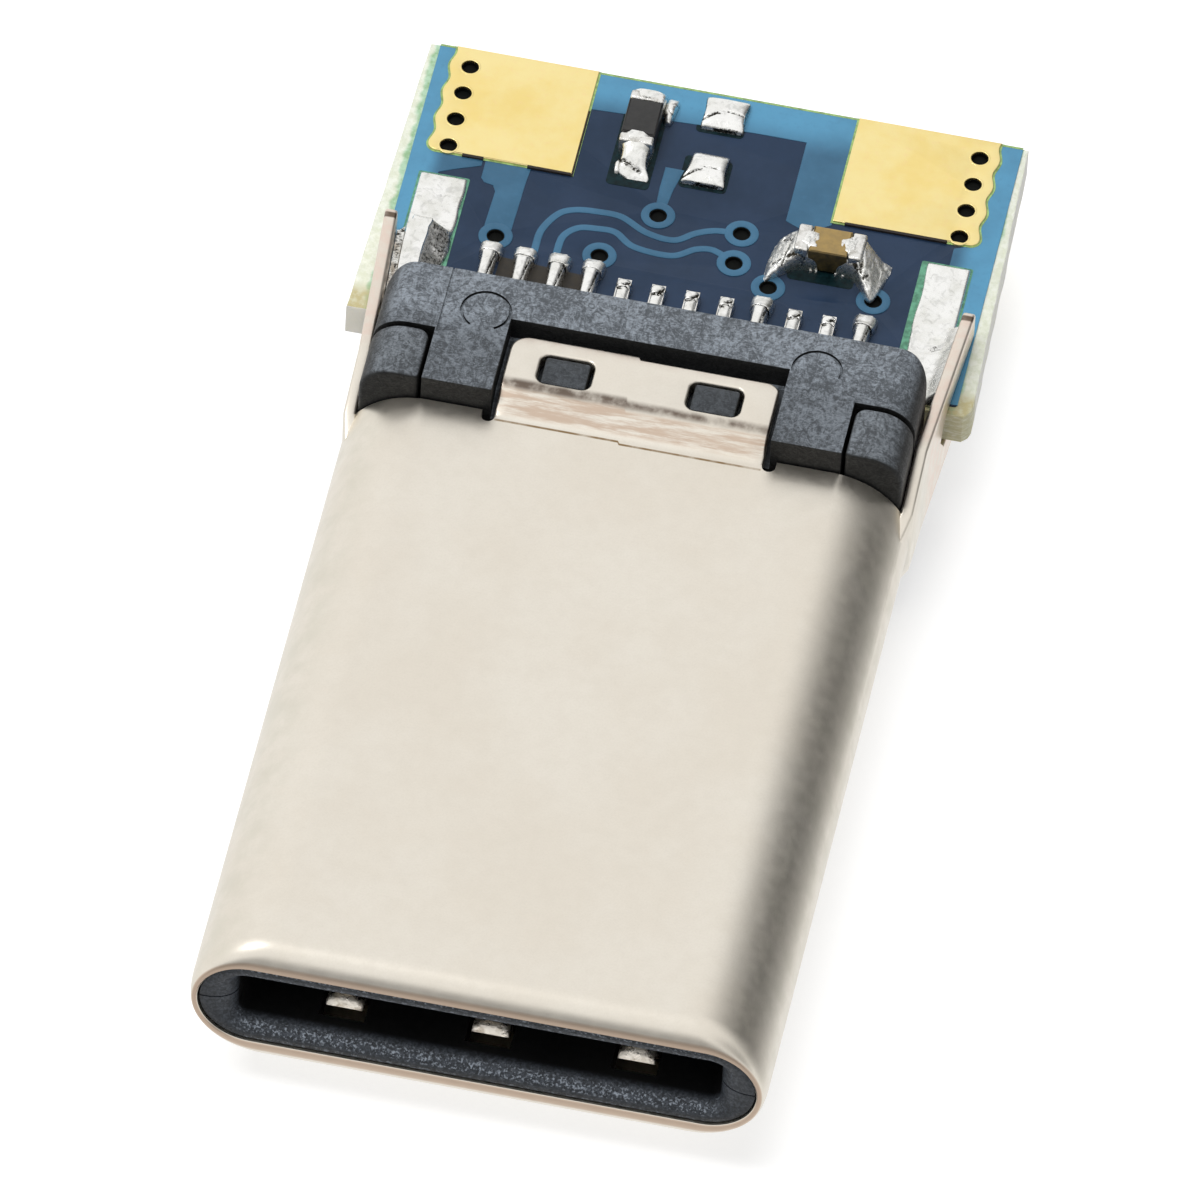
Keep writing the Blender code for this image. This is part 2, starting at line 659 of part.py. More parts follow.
def make_gold_pads(mat):
    """Wire pads whose outer edges bulge round their plated holes, the front corner round the first."""
    rear = BOARD_END - SOLDER_LIFT
    half = math.degrees(math.acos(PAD_HOLE_IN / SCALLOP_R))
    corner = HOLE_R + PAD_HOLE_WEB
    edge = [(PAD_IN, rear), (PAD_IN, PAD_FRONT)]
    edge += arc(PAD_OUT + SCALLOP_R - PAD_HOLE_IN - corner, PAD_FRONT + corner, corner, -90, 0, 4)
    first, *others = reversed(pad_hole_places())
    edge += arc(*first, SCALLOP_R, 0, half, 3)[1:]
    for x, y in others:
        edge += [p for p in arc(x, y, SCALLOP_R, -half, half, 6) if p[1] < rear]
    edge.append((PAD_OUT, rear))
    outlines = [edge] + [circle(x, y, HOLE_R) for x, y in pad_hole_places()]
    for side, tag, other in ((1, "right", "left"), (-1, "left", "right")):
        turned = [[(side * x, y) for x, y in points] for points in outlines]
        top = finish("gold_pad_top_" + tag, plate(turned, "z", BOARD_TOP, BOARD_TOP + PAD_T), mat)
        copy_of(top, "gold_pad_bottom_" + other, below=True)


def make_leg_solder(mat):
    """Solder that runs from a long pad on the board up the inner face of a leg."""
    pad_in, pad_out = LEG_IN - LEG_PAD_W, LEG_IN + LEG_PAD_PAST
    # Share of the leg's or tail's length, inset in pad widths, heights in the middle and at the leg as shares
    at_leg = ((0.04, 0.22, 0.11, 0.23), (0.20, 0.0, 0.41, 0.86),
              (0.59, -0.09, 0.50, 1.0), (0.92, -0.13, 0.45, 0.86))
    behind = ((0.07, -0.11, 0.27, 0.36), (0.39, -0.05, 0.16, 0.18),
              (0.92, -0.02, 0.14, 0.11), (1.0, 0.02, 0.07, 0.07))
    shapes = []
    for along, inset, middle, high in at_leg:
        back = along * LEG_REACH
        shapes.append((back, inset, leg_face(BOARD_Y + back) - 2 * SOLDER_GAP, middle, high))
    for along, inset, middle, high in behind:
        shapes.append((LEG_REACH + along * LEG_PAD_TAIL, inset, pad_out, middle, high))
    z0 = BOARD_TOP + SOLDER_LIFT
    for side, tag, other in ((1, "right", "left"), (-1, "left", "right")):
        rings = []
        for back, inset, x1, middle, high in shapes:
            x0 = pad_in + inset * LEG_PAD_W
            w = x1 - x0
            at_side, at_middle = z0 + high * LEG_FILLET_H, z0 + middle * LEG_FILLET_H
            ring = [(x0, z0), (x1, z0), (x1, at_side), (x1 - 0.18 * w, (at_side + at_middle) / 2),
                    (x1 - 0.55 * w, at_middle), (x0 + 0.12 * w, z0 + 0.6 * (at_middle - z0))]
            rings.append(section([(side * x, z) for x, z in ring], BOARD_Y + back))
        top = finish("leg_solder_top_" + tag, loft(rings), mat, 60)
        copy_of(top, "leg_solder_bottom_" + other, below=True)


def chip_place(at, along_y, u, v):
    """Turns along and across a chip part into the plug's x and y."""
    cx, cy = at[0], BOARD_Y + at[1]
    return (cx - v, cy + u) if along_y else (cx + u, cy + v)


def make_chip(prefix, at, along_y, cap_len, height, body_mat, cap_mat):
    """Ceramic body between two metal end caps."""
    end, half = CHIP_L / 2, CHIP_L / 2 - cap_len
    z0 = BOARD_TOP + CHIP_LIFT
    pieces = (("_body", -half, half, body_mat), ("_cap_a", -end, -half - SOLDER_LIFT, cap_mat),
              ("_cap_b", half + SOLDER_LIFT, end, cap_mat))
    for suffix, u0, u1, mat in pieces:
        ax, ay = chip_place(at, along_y, u0, -CHIP_W / 2)
        bx, by = chip_place(at, along_y, u1, CHIP_W / 2)
        box = boxes((min(ax, bx), max(ax, bx), ay, by, z0, z0 + height))
        finish(prefix + suffix, box, mat)


def make_fillet(name, at, along_y, way, run, shift, foot_w, chip_h, mat):
    """Solder ramp from a chip's end face, way -1 or 1, down to its pad."""
    z0 = BOARD_TOP + SOLDER_LIFT
    rings = []
    for out, share in ((0.0, 1.0), (0.25, 0.62), (0.6, 0.30), (1.0, 0.05)):
        u = way * (CHIP_L / 2 + SOLDER_GAP + out * run)
        half = (CHIP_W + (foot_w - CHIP_W) * out) / 2
        mid = out * shift
        h = SOLDER_SINK + (chip_h - 2 * SOLDER_SINK) * share
        ring = ((mid - half, 0.0), (mid + half, 0.0), (mid + 0.8 * half, 0.8 * h), (mid, h),
                (mid - 0.8 * half, 0.8 * h))
        rings.append([(*chip_place(at, along_y, u, v), z0 + z) for v, z in ring])
    finish(name, loft(rings), mat, 60)


def make_blank_pads(mat):
    """Domes of solder on the two pads that carry no part."""
    levels = ((1.0, 0.0), (0.98, 0.3), (0.82, 0.7), (0.5, 0.94), (0.2, 1.0))
    for tag, x, back in BLANK_PADS_AT:
        y = BOARD_Y + back
        rings = []
        for wide, high in levels:
            r = wide * BLANK_PAD_W / 2
            outline = rounded(x - r, x + r, y - 0.92 * r, y + 0.92 * r, (0.45 * r,) * 4, 3)
            z = BOARD_TOP + SOLDER_LIFT + high * BLANK_PAD_H
            rings.append([(u, v, z) for u, v in outline])
        finish("blank_pad_solder_" + tag, loft(rings), mat, 60)


for old in list(bpy.data.objects):
    bpy.data.objects.remove(old)
PARTS = bpy.data.collections.new("usb_c_plug")
CUTTERS = bpy.data.collections.new("cutters")
for group in (PARTS, CUTTERS):
    bpy.context.scene.collection.children.link(group)
FRAME = bpy.data.objects.new("plug_frame", None)
FRAME.location = Vector((0.0, -BOARD_END / 2, COLLAR_Z)) * MM
PARTS.objects.link(FRAME)

black = new_material("black_plastic", (0.045, 0.048, 0.055), 0.0, 0.55)
solder = new_material("solder", (0.82, 0.82, 0.80), 1.0, 0.24)
tin = new_material("terminal_tin", (0.78, 0.78, 0.77), 1.0, 0.30)
glaze = new_material("resistor_glaze", (0.03, 0.03, 0.035), 0.0, 0.35)
ceramic = new_material("capacitor_ceramic", (0.42, 0.27, 0.12), 0.0, 0.40)

make_shell(new_material("nickel_steel", (0.80, 0.77, 0.72), 1.0, 0.32))
make_front_housing(black)
make_carriers(new_material("carrier_plastic", (0.03, 0.03, 0.034), 0.0, 0.60))
make_latch(new_material("latch_steel", (0.66, 0.64, 0.60), 1.0, 0.33))
make_ground_springs(new_material("spring_steel", (0.72, 0.69, 0.64), 1.0, 0.30))
make_contacts(new_material("contact_metal", (0.86, 0.80, 0.66), 1.0, 0.28))
make_rear_housing(black)
make_corner_blocks(new_material("corner_plastic", (0.04, 0.042, 0.05), 0.0, 0.58))
make_board(new_material("board_mask", (0.05, 0.09, 0.20), 0.0, 0.35))
make_gold_pads(new_material("gold_plating", (0.95, 0.76, 0.36), 1.0, 0.30))
make_leg_solder(solder)
make_chip("resistor", RESISTOR_AT, True, RESISTOR_CAP, RESISTOR_H, glaze, tin)
make_chip("capacitor", CAPACITOR_AT, False, CAPACITOR_CAP, CAPACITOR_H, ceramic, tin)
make_fillet("resistor_solder_rear", RESISTOR_AT, True, 1, 0.34, 0.0, 0.56, RESISTOR_H, solder)
make_fillet("resistor_solder_front", RESISTOR_AT, True, -1, 0.60, -0.06, 0.58, RESISTOR_H, solder)
make_fillet("capacitor_solder_left", CAPACITOR_AT, False, -1, 0.30, -0.16, 0.40, CAPACITOR_H, solder)
make_fillet("capacitor_solder_right", CAPACITOR_AT, False, 1, 0.32, -0.16, 0.40, CAPACITOR_H, solder)
make_blank_pads(solder)
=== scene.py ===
"""Looks of a USB type C plug on its small circuit board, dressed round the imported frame.

Sizes are in millimetres in the plug's own frame: x to the right, y from the mating
face to the back, z up from the mid plane. The plug looks the same after half a turn
about y, so what is made above the mid plane is made again below it, turned.
"""
import math

import bmesh
import bpy
from mathutils import Matrix, Vector, noise


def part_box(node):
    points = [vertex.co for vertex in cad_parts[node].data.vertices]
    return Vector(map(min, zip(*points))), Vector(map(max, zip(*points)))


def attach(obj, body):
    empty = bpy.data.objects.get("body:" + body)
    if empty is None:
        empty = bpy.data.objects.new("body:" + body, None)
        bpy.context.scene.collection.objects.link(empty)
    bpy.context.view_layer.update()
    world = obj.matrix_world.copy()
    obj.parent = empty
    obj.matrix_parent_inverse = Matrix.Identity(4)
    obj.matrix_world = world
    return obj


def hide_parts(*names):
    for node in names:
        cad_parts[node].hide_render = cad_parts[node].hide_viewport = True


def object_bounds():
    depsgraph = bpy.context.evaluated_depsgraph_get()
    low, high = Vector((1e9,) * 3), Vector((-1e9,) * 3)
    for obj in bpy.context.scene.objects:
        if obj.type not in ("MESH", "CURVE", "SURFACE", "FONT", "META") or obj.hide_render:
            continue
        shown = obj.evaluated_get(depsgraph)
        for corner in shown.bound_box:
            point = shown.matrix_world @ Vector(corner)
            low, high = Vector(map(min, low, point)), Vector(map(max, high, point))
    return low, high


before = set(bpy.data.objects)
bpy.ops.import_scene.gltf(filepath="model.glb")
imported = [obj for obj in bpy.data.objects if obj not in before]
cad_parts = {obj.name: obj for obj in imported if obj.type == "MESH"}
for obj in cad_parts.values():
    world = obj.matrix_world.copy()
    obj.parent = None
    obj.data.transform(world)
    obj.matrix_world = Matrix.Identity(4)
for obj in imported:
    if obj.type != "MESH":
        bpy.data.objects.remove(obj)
CAD_LOW, CAD_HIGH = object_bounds()

MM = 0.001
MOUTH_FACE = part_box("shell")[0].y
MID_PLANE = sum(corner.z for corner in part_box("rear_housing")) / 2
ORIGIN = Vector((0.0, MOUTH_FACE, MID_PLANE))
HALF_TURN = Matrix.Rotation(math.pi, 4, "Y")


def node_box(node):
    """Lowest and highest corner of a CAD node, in millimetres in the plug's frame."""
    return [(corner - ORIGIN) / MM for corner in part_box(node)]


# Shell: the tube, its tabs with two windows each, and its side legs
SHELL_HIGH = node_box("shell")[1]
SHELL_W = 8.25
SHELL_H = 2.4
SHELL_LEN = 10.55
WALL = 0.25
NOSE_DROP = 0.36
NOSE_SIDE = 0.07
NOSE_LIP = 0.06
NOSE_END = 0.42
NOSE_X = SHELL_W / 2 - NOSE_SIDE - NOSE_LIP
NOSE_Z = SHELL_H / 2 - NOSE_DROP - NOSE_LIP
NOSE_BREAK = 0.02
FIT = 0.02
TAB_W = 3.9
TAB_TOP = SHELL_HIGH.z
TAB_FOOT = 10.47
TAB_BREAK = 10.89
TAB_END = 11.8
TAB_BEND = 0.1
TAB_CORNER = 0.24
TAB_STEP = 0.055
STEP_X = -0.1
WINDOW_W = 0.79
WINDOW_L = 0.55
WINDOW_X = 1.085
WINDOW_Y = 11.265
WINDOW_CORNER = 0.14
RELIEF_R = 0.1
LEG_T = 0.18
LEG_IN = 3.965
LEG_TOP = 0.85
LEG_ROUND = 0.12
LEG_END = SHELL_HIGH.y
LEG_SPLAY = SHELL_HIGH.x - LEG_T - LEG_IN

# Housings
COLLAR_X, COLLAR_END, COLLAR_Z = node_box("rear_housing")[1]
COLLAR_Y = 10.58
STEP_Y = 11.56
COLLAR_ROUND = 0.5
COLLAR_CORNER = 0.34
ARM_X = 2.03
ARM_OUT = 3.05
CORE_Y = 9.9
CORE_X = 3.105
BLOCK_IN = node_box("corner_block_right")[0].x - 0.03
BLOCK_END = node_box("corner_block_right")[1].y
BLOCK_CORNER = 0.18
MARK_X = 2.41
MARK_Y = 12.03
MARK_R = 0.35
MARK_HALF_W = 0.02
RING_Y = node_box("front_housing")[0].y
MOUTH_DEPTH = node_box("front_housing")[1].y
INNER_W = SHELL_W / 2 - WALL - FIT
INNER_H = SHELL_H / 2 - WALL - FIT
MOUTH_X = 3.45
MOUTH_Z = 0.45
MOUTH_R = 0.14
MOUTH_ROUND = 0.28
RING_LAND = 0.1
MOUTH_FLOOR = MOUTH_Z - 0.15
SLOT_Y = 1.7
SLOT_TOP = 0.8
LATCH_Y = 1.9
LATCH_HALF_H = 0.1
SEAM_X = 3.75
SEAM_HALF_H = 0.012
TAB_GAP = 0.025
POCKET_END = TAB_END + 0.16
LEAD_LOW, LEAD_HIGH = 0.305, 0.455

# How far cutting tools reach past what they cut
PAST = 0.3

# Contacts and springs
WAYS = 12
PITCH = 0.5
LEADS = [(i - (WAYS - 1) / 2) * PITCH for i in range(WAYS)]
LEAD_W = 0.2
SPRING_T = 0.08
SPRING_W = 0.56
SPRING_X = (-1.96, 0.13, 2.22)
SPRING_Y = 1.24
SPRING_SHIFT = -0.21
SPRING_LINE = ((1.392, 0.89), (1.22, 0.89), (1.115, 0.81), (0.998, 0.498), (0.92, 0.39), (0.85, 0.37),
               (0.765, 0.41), (0.68, 0.482))
BAR_L = 0.38
BAR_X = (SPRING_X[0] - SPRING_W / 2 - 0.38, SPRING_X[-1] + SPRING_W / 2 + 0.38)

# Board
BOARD_LOW, BOARD_HIGH = node_box("circuit_board")
BOARD_Y = BOARD_LOW.y
BOARD_FRONT_X, BOARD_END, BOARD_TOP = BOARD_HIGH
BOARD_REAR_X = BOARD_FRONT_X - 0.15
EDGE_WAVE = 0.012
MASK_T = 0.014
MASK_LEFT = 4.265
MASK_RIGHT = 4.335
MASK_FRONT = 12.95
COPPER_T = 0.008
SINK = 0.004
HOLE_R = 0.125
HOLE_GAP = 0.004
BARREL_T = 0.012
# Depth of the dark disc that paints shade in each hole
SHADE_DISC_DEPTH = 0.05
RING_R = 0.25
PAD_LOW, PAD_HIGH = node_box("gold_pad_top_right")
PAD_IN = PAD_LOW.x
PAD_OUT = 4.005
PAD_HOLE_X = 3.76
PAD_HOLE_Y = [17.665 - 0.5167 * k for k in range(4)]
PAD_CORNER = 0.14
PAD_WAVE = 0.028
PAD_RIM = 0.028
PAD_SHADE = 0.03
VIAS = [(-2.75, 14.59), (-1.22, 14.57), (-0.55, 15.52), (0.69, 15.46), (0.69, 14.88), (1.26, 14.54),
        (2.78, 14.64)]
HOLES = VIAS + [(side * PAD_HOLE_X, y) for y in PAD_HOLE_Y for side in (-1, 1)]
SIDES = ((1, "_right", "_left"), (-1, "_left", "_right"))

# Solder and smoothing angles
SOLDER_BASE = BOARD_TOP + 0.004
LEG_FILM = 0.055
BLOB_FRONT_Y = 16.74
BLOB_REAR_Y = 17.38
FOOT_PLACE = (-0.2, 16.36)
LOBE_PLACE = (0.34, 17.24)
FLARED_PINS = (0, 1, 2, 3, 8, 11)
CRISP = 32
MELTED = 60

# A dome's profile from front to rear: share of its length, height and swelling
DOME = ((0.0, 0.02, -0.02), (0.06, 0.1, 0.0), (0.3, 0.165, -0.012), (0.55, 0.17, -0.012), (0.8, 0.14, 0.0),
        (0.95, 0.08, 0.0), (1.0, 0.01, -0.02))

# Studio: each card has a direction, an inner and an outer radius in degrees, and the light it takes away
WHITE = (1.0, 1.0, 1.0)
WORLD_FILL = 0.42
CARDS = (((0.745, 0.641, 0.19), 5.0, 48.0, 0.86), ((-0.1, -0.97, -0.22), 12.0, 42.0, 0.66),
         ((0.75, -0.5, 0.35), 12.0, 34.0, 0.55))
PAPER = (0.55, 0.55, 0.55)
PAPER_GLOW = 0.62
FLOOR_SIZE = 40.0
FLOOR_GAP = 0.00002


def spread(start, end, steps):
    """Evenly spaced values from start to end."""
    return [start + (end - start) * k / steps for k in range(steps + 1)]


def clamp(value):
    return max(0.0, min(1.0, value))


# Node trees

class Field:
    """A value that varies over a surface; sums and products of fields become nodes."""

    def __init__(self, owner, socket):
        self.owner = owner
        self.socket = socket

    def __abs__(self):
        return self.owner.math("ABSOLUTE", self)

    def __add__(self, other):
        return self.owner.math("ADD", self, other)

    def __sub__(self, other):
        return self.owner.math("SUBTRACT", self, other)

    def __mul__(self, other):
        return self.owner.math("MULTIPLY", self, other)

    def ramp(self, low, high, start=0.0, end=1.0, kind="SMOOTHSTEP"):
        """Goes from start to end while the field goes from low to high."""
        inputs = {"Value": self, "From Min": low, "From Max": high, "To Min": start, "To Max": end}
        return self.owner.add("MapRange", inputs, "Result", interpolation_type=kind)

    def strip(self, low, high, soft):
        """One between two values and nothing outside them."""
        return self.ramp(low - soft, low) * self.ramp(high, high + soft, 1.0, 0.0)


class Tree:
    """A node tree whose nodes are made together with their inputs."""

    def __init__(self, tree):
        self.tree = tree

    def put(self, node, name, value):
        socket = node.inputs[name]
        if isinstance(value, Field):
            self.tree.links.new(value.socket, socket)
        elif socket.type == "RGBA":
            socket.default_value = (*value, 1.0)
        else:
            socket.default_value = value

    def add(self, kind, inputs=(), out=0, **settings):
        """Makes a node and gives its chosen output, or nothing where out is None."""
        node = self.tree.nodes.new("ShaderNode" + kind)
        for name, value in settings.items():
            setattr(node, name, value)
        for name, value in dict(inputs).items():
            self.put(node, name, value)
        return None if out is None else Field(self, node.outputs[out])

    def math(self, operation, a, b=0.0):
        return self.add("Math", {0: a, 1: b}, operation=operation)


class Surface(Tree):
    """A procedural material whose patterns are sized in millimetres."""

    def __init__(self, name, color, metallic, roughness):
        self.mat = bpy.data.materials.new(name)
        self.mat.use_nodes = True
        super().__init__(self.mat.node_tree)
        self.set(Base_Color=color, Metallic=metallic, Roughness=roughness)
        place = self.add("TexCoord", out="Object")
        self.place = self.add("Mapping", {"Vector": place, "Scale": (1 / MM,) * 3, "Location": -ORIGIN / MM})

    def set(self, **inputs):
        for name, value in inputs.items():
            self.put(self.tree.nodes["Principled BSDF"], name.replace("_", " "), value)

    def noise(self, per_mm, detail=3.0, rough=0.55, stretch=None, warp=0.0):
        place = self.place
        if stretch:
            place = self.add("Mapping", {"Vector": place, "Scale": stretch})
        inputs = {"Vector": place, "Scale": per_mm, "Detail": detail, "Roughness": rough, "Distortion": warp}
        return self.add("TexNoise", inputs, "Fac")

    def blend(self, share, a, b, kind="MIX"):
        return self.add("Mix", {0: share, 6: a, 7: b}, 2, data_type="RGBA", blend_type=kind)

    def axis(self, name):
        return self.add("SeparateXYZ", {0: self.place}, name)

    def facing(self, name):
        """A component of the surface's own normal, before any bump."""
        return self.add("SeparateXYZ", {0: self.add("NewGeometry", out="Normal")}, name)

    def bump(self, height, depth, before=None):
        """Relief whose full height is depth millimetres, over an earlier one where given."""
        inputs = {"Height": height, "Strength": 1.0, "Distance": depth * MM}
        if before:
            inputs["Normal"] = before
        normal = self.add("Bump", inputs, "Normal")
        self.set(Normal=normal)
        return normal


def shade(color, factor):
    return tuple(factor * c for c in color)


# Materials

def nickel():
    """Dull nickel: faint clouds and a fine grain, with painted light and shade: side-facing faces darker as
    a painted dark reflection, browner at the cut lip as a painted reflection, painted reflection banding on
    the tabs' slopes and painted dark shade along the bends of the tabs.
    """
    n = Surface("nickel_shell", (0.78, 0.73, 0.64), 1.0, 0.33)
    grain = n.noise(30.0, 3.0, 0.65)
    spots = n.noise(4.5, 4.0, 0.65).ramp(0.35, 0.72, 0.0, 0.22)
    base = n.blend(n.noise(0.5, 4.0, 0.6).ramp(0.35, 0.68), (0.82, 0.77, 0.682), (0.79, 0.732, 0.638))
    base = n.blend(spots, base, (0.715, 0.66, 0.57))
    base = n.blend(grain.ramp(0.35, 0.8, 0.0, 0.2), base, (0.64, 0.59, 0.5))
    y, z = n.axis("Y"), abs(n.axis("Z"))
    # Painted dark reflection: faces turned to the sides are darkened, in patches
    flank_painted_reflection = abs(n.facing("X")).ramp(0.25, 0.75, 0.0, 0.55) * n.noise(2.4, 4.0, 0.6).ramp(0.3, 0.7)
    base = n.blend(flank_painted_reflection, base, (0.66, 0.63, 0.53))
    # Painted reflection: browner at the cut lip of the mouth
    base = n.blend(y.ramp(0.004, 0.022, 0.8, 0.0), base, (0.5, 0.36, 0.26))
    x = n.axis("X") * n.math("SIGN", n.axis("Z"))
    along = y + x.ramp(-0.15, -0.11, 0.0, 0.045)
    uneven = n.noise(2.6, 4.0, 0.6).ramp(0.3, 0.6, 0.35, 1.0)
    # Painted reflection: broken tan banding across the slope of each tab
    slope = along.strip(TAB_FOOT + 0.03, TAB_BREAK - 0.08, 0.05) * z.ramp(1.21, 1.25)
    slope_painted_reflection_bands = n.noise(8.0, 4.0, 0.7, (0.16, 1.6, 1.6)).ramp(0.36, 0.62)
    base = n.blend(slope * slope_painted_reflection_bands, base, (0.6, 0.475, 0.375))
    # Painted shade: a dark, uneven line along the upper bend of each tab
    brow_painted_shade = along.strip(TAB_BREAK - 0.03, TAB_BREAK + 0.03, 0.11) * z.ramp(1.42, 1.48)
    base = n.blend(brow_painted_shade * uneven, base, (0.16, 0.125, 0.1))
    # Painted shade: a thin dark brown line in the crease at the foot of each tab, within its width
    foot = along.strip(TAB_FOOT - 0.075, TAB_FOOT - 0.055, 0.016) * z.ramp(1.15, 1.17)
    inside = abs(x).ramp(TAB_W / 2 - 0.02, TAB_W / 2, 1.0, 0.0)
    base = n.blend(foot * inside * uneven, base, (0.27, 0.18, 0.09))
    legs = y.ramp(STEP_Y, STEP_Y + 0.4) * n.noise(5.0, 4.0, 0.65).ramp(0.35, 0.65, 0.2, 0.9)
    base = n.blend(legs, base, (0.8, 0.66, 0.57))
    tip = y.strip(LEG_END - 0.2, LEG_END - 0.13, 0.03) * z.ramp(0.8, 0.84)
    base = n.blend(tip * uneven, base, (0.16, 0.12, 0.09))
    n.set(Base_Color=base, Roughness=n.noise(5.0, 4.0).ramp(0.3, 0.7, 0.3, 0.37))
    n.bump(n.noise(1.1), 0.003, n.bump(grain, 0.0006))
    return n.mat


def moulded(name, top):
    """Glass filled plastic, mottled with streaks, flakes and specks: its top faces painted pale as lit, its
    upright ones painted dark as shade, with painted shade under the tabs between the arms and the painted
    lit top dimmed ahead of the step.
    """
    # Colour of the upright faces, painted dark as shade
    side = (0.012, 0.0125, 0.0125)
    n = Surface(name, top, 0.0, 0.5)
    streaks = n.noise(5.0, 5.0, 0.74, (1.5, 0.8, 1.2), 2.0)
    flakes = n.noise(10.5, 4.0, 0.74, (0.8, 1.5, 1.0), 1.6)
    specks = n.noise(38.0, 2.0, 0.5)
    y = n.axis("Y")
    # Painted shade under the tabs between the arms, on the pockets and the bosses in the windows
    inside = abs(n.axis("X")).ramp(ARM_X - 0.03, ARM_X - 0.01, 1.0, 0.0)
    pocket_painted_shade = inside * y.ramp(TAB_END + 0.08, TAB_END + 0.1, 1.0, 0.0)
    mottle = streaks.ramp(0.36, 0.64, -0.42, 0.36) + flakes.ramp(0.34, 0.68, -0.4, 0.42)
    mottle = mottle + specks.ramp(0.6, 0.78, 0.0, 0.75)
    mottle = mottle + n.noise(1.4, 3.0, 0.6).ramp(0.35, 0.65, -0.22, 0.16)
    # Top faces: the mottled tone painted pale, as lit
    pale = n.blend(mottle + 0.45, shade(top, 0.4), shade(top, 1.45))
    # The painted lit top is dimmed ahead of the step
    wear_and_painted_sheen_dimming = n.blend(y.ramp(STEP_Y - 0.1, STEP_Y + 0.5), (0.66, 0.66, 0.66), WHITE)
    pale = n.blend(pocket_painted_shade * 0.75, n.blend(1.0, pale, wear_and_painted_sheen_dimming, "MULTIPLY"), shade(top, 0.12))
    # Upright faces painted dark, as shade
    dark = n.blend(flakes.ramp(0.35, 0.7), shade(side, 0.5), shade(side, 1.7))
    base = n.blend(abs(n.facing("Z")).ramp(0.45, 0.95), dark, pale)
    n.set(Base_Color=base, Roughness=flakes.ramp(0.35, 0.7, 0.58, 0.42), Specular_IOR_Level=0.3)
    n.bump(specks, 0.004, n.bump(streaks + flakes, 0.01))
    return n.mat


def dark_plastic():
    """The mouth's ring and cavity: dark flecked plastic with painted glints on the roundover, a little
    painted shade on the front land, and painted shade, near black, further in.
    """
    n = Surface("mouth_plastic", (0.035, 0.038, 0.043), 0.0, 0.5)
    flakes = n.noise(17.0, 5.0, 0.7, warp=0.6)
    face = n.blend(flakes.ramp(0.4, 0.66), (0.026, 0.03, 0.036), (0.082, 0.095, 0.115))
    # Painted glints: bright flecks where the roundover turns half up, along its long sides
    roundover_painted_glints = abs(n.facing("Z")).strip(0.25, 0.8, 0.2) * abs(n.axis("X")).ramp(3.2, 3.6, 1.0, 0.0)
    face = n.blend(roundover_painted_glints * n.noise(27.0, 3.0, 0.6).ramp(0.5, 0.66), face, (0.4, 0.45, 0.52))
    # Painted shade: the front land a little darker
    face = n.blend(n.axis("Y").ramp(0.062, 0.085, 0.3, 0.0), face, (0.022, 0.024, 0.027))
    # Painted shade: near black further into the mouth
    base = n.blend(n.axis("Y").ramp(0.22, 0.345), face, (0.0045, 0.0045, 0.005))
    n.set(Base_Color=base, Roughness=flakes.ramp(0.35, 0.7, 0.55, 0.4), Specular_IOR_Level=0.35)
    n.bump(flakes, 0.006)
    return n.mat


def metal(name, color, tone, roughness, low, high, depth=0.003, behind=None):
    """Worked metal with soft darker blotches and a fine grain.

    Behind is where a change along y starts and ends, its share, and the colours beyond it.
    """
    n = Surface(name, color, 1.0, roughness)
    stains_and_painted_shade = n.noise(7.0, 4.0, 0.6).ramp(0.42, 0.72, 0.0, 0.75)
    base = n.blend(stains_and_painted_shade, color, tone)
    if behind:
        start, end, share, *far = behind
        base = n.blend(n.axis("Y").ramp(start, end, 0.0, share), base, n.blend(stains_and_painted_shade, *far))
    n.set(Base_Color=base, Roughness=n.noise(12.0).ramp(0.3, 0.7, low, high))
    n.bump(n.noise(22.0), depth)
    return n.mat


def gold():
    n = Surface("gold_plating", (0.93, 0.775, 0.34), 1.0, 0.36)
    base = n.blend(n.noise(1.3, 4.0, 0.6).ramp(0.35, 0.7), (0.955, 0.8, 0.375), (0.93, 0.735, 0.285))
    base = n.blend(n.noise(9.0).ramp(0.5, 0.8, 0.0, 0.35), base, (0.95, 0.7, 0.36))
    n.set(Base_Color=base, Roughness=n.noise(6.0).ramp(0.3, 0.7, 0.3, 0.42))
    n.bump(n.noise(18.0), 0.0015)
    return n.mat


def solder(name, pit_darkness, rough, depth, per_mm):
    """Bright tin with painted shade in the creases that the mesh marks, a few darker smudges and blots, and
    pitted where it cooled last.
    """
    n = Surface(name, (0.88, 0.88, 0.85), 1.0, rough)
    crust = n.noise(per_mm, 5.0, 0.7, warp=0.8)
    base = n.blend(n.noise(3.0).ramp(0.4, 0.7), (0.93, 0.925, 0.9), (0.8, 0.795, 0.75))
    base = n.blend(crust.ramp(0.5, 0.62) * pit_darkness, base, (0.16, 0.165, 0.145))
    # The mesh's mark: painted shade in creases and along edges, with a few smudges and blots, broken up by
    # fine noise
    painted_shade_and_stain = n.add("Attribute", out="Fac", attribute_name="painted_shade_and_stain")
    fine = n.noise(24.0, 4.0, 0.7, warp=0.6) - 0.5
    painted_shade_and_stain = painted_shade_and_stain + painted_shade_and_stain.ramp(0.05, 0.35, 0.0, 2.4) * fine
    base = n.blend(painted_shade_and_stain.ramp(0.25, 0.75), base, (0.03, 0.027, 0.02))
    n.set(Base_Color=base, Roughness=crust.ramp(0.4, 0.7, rough, rough + 0.2))
    n.bump(crust, depth)
    return n.mat


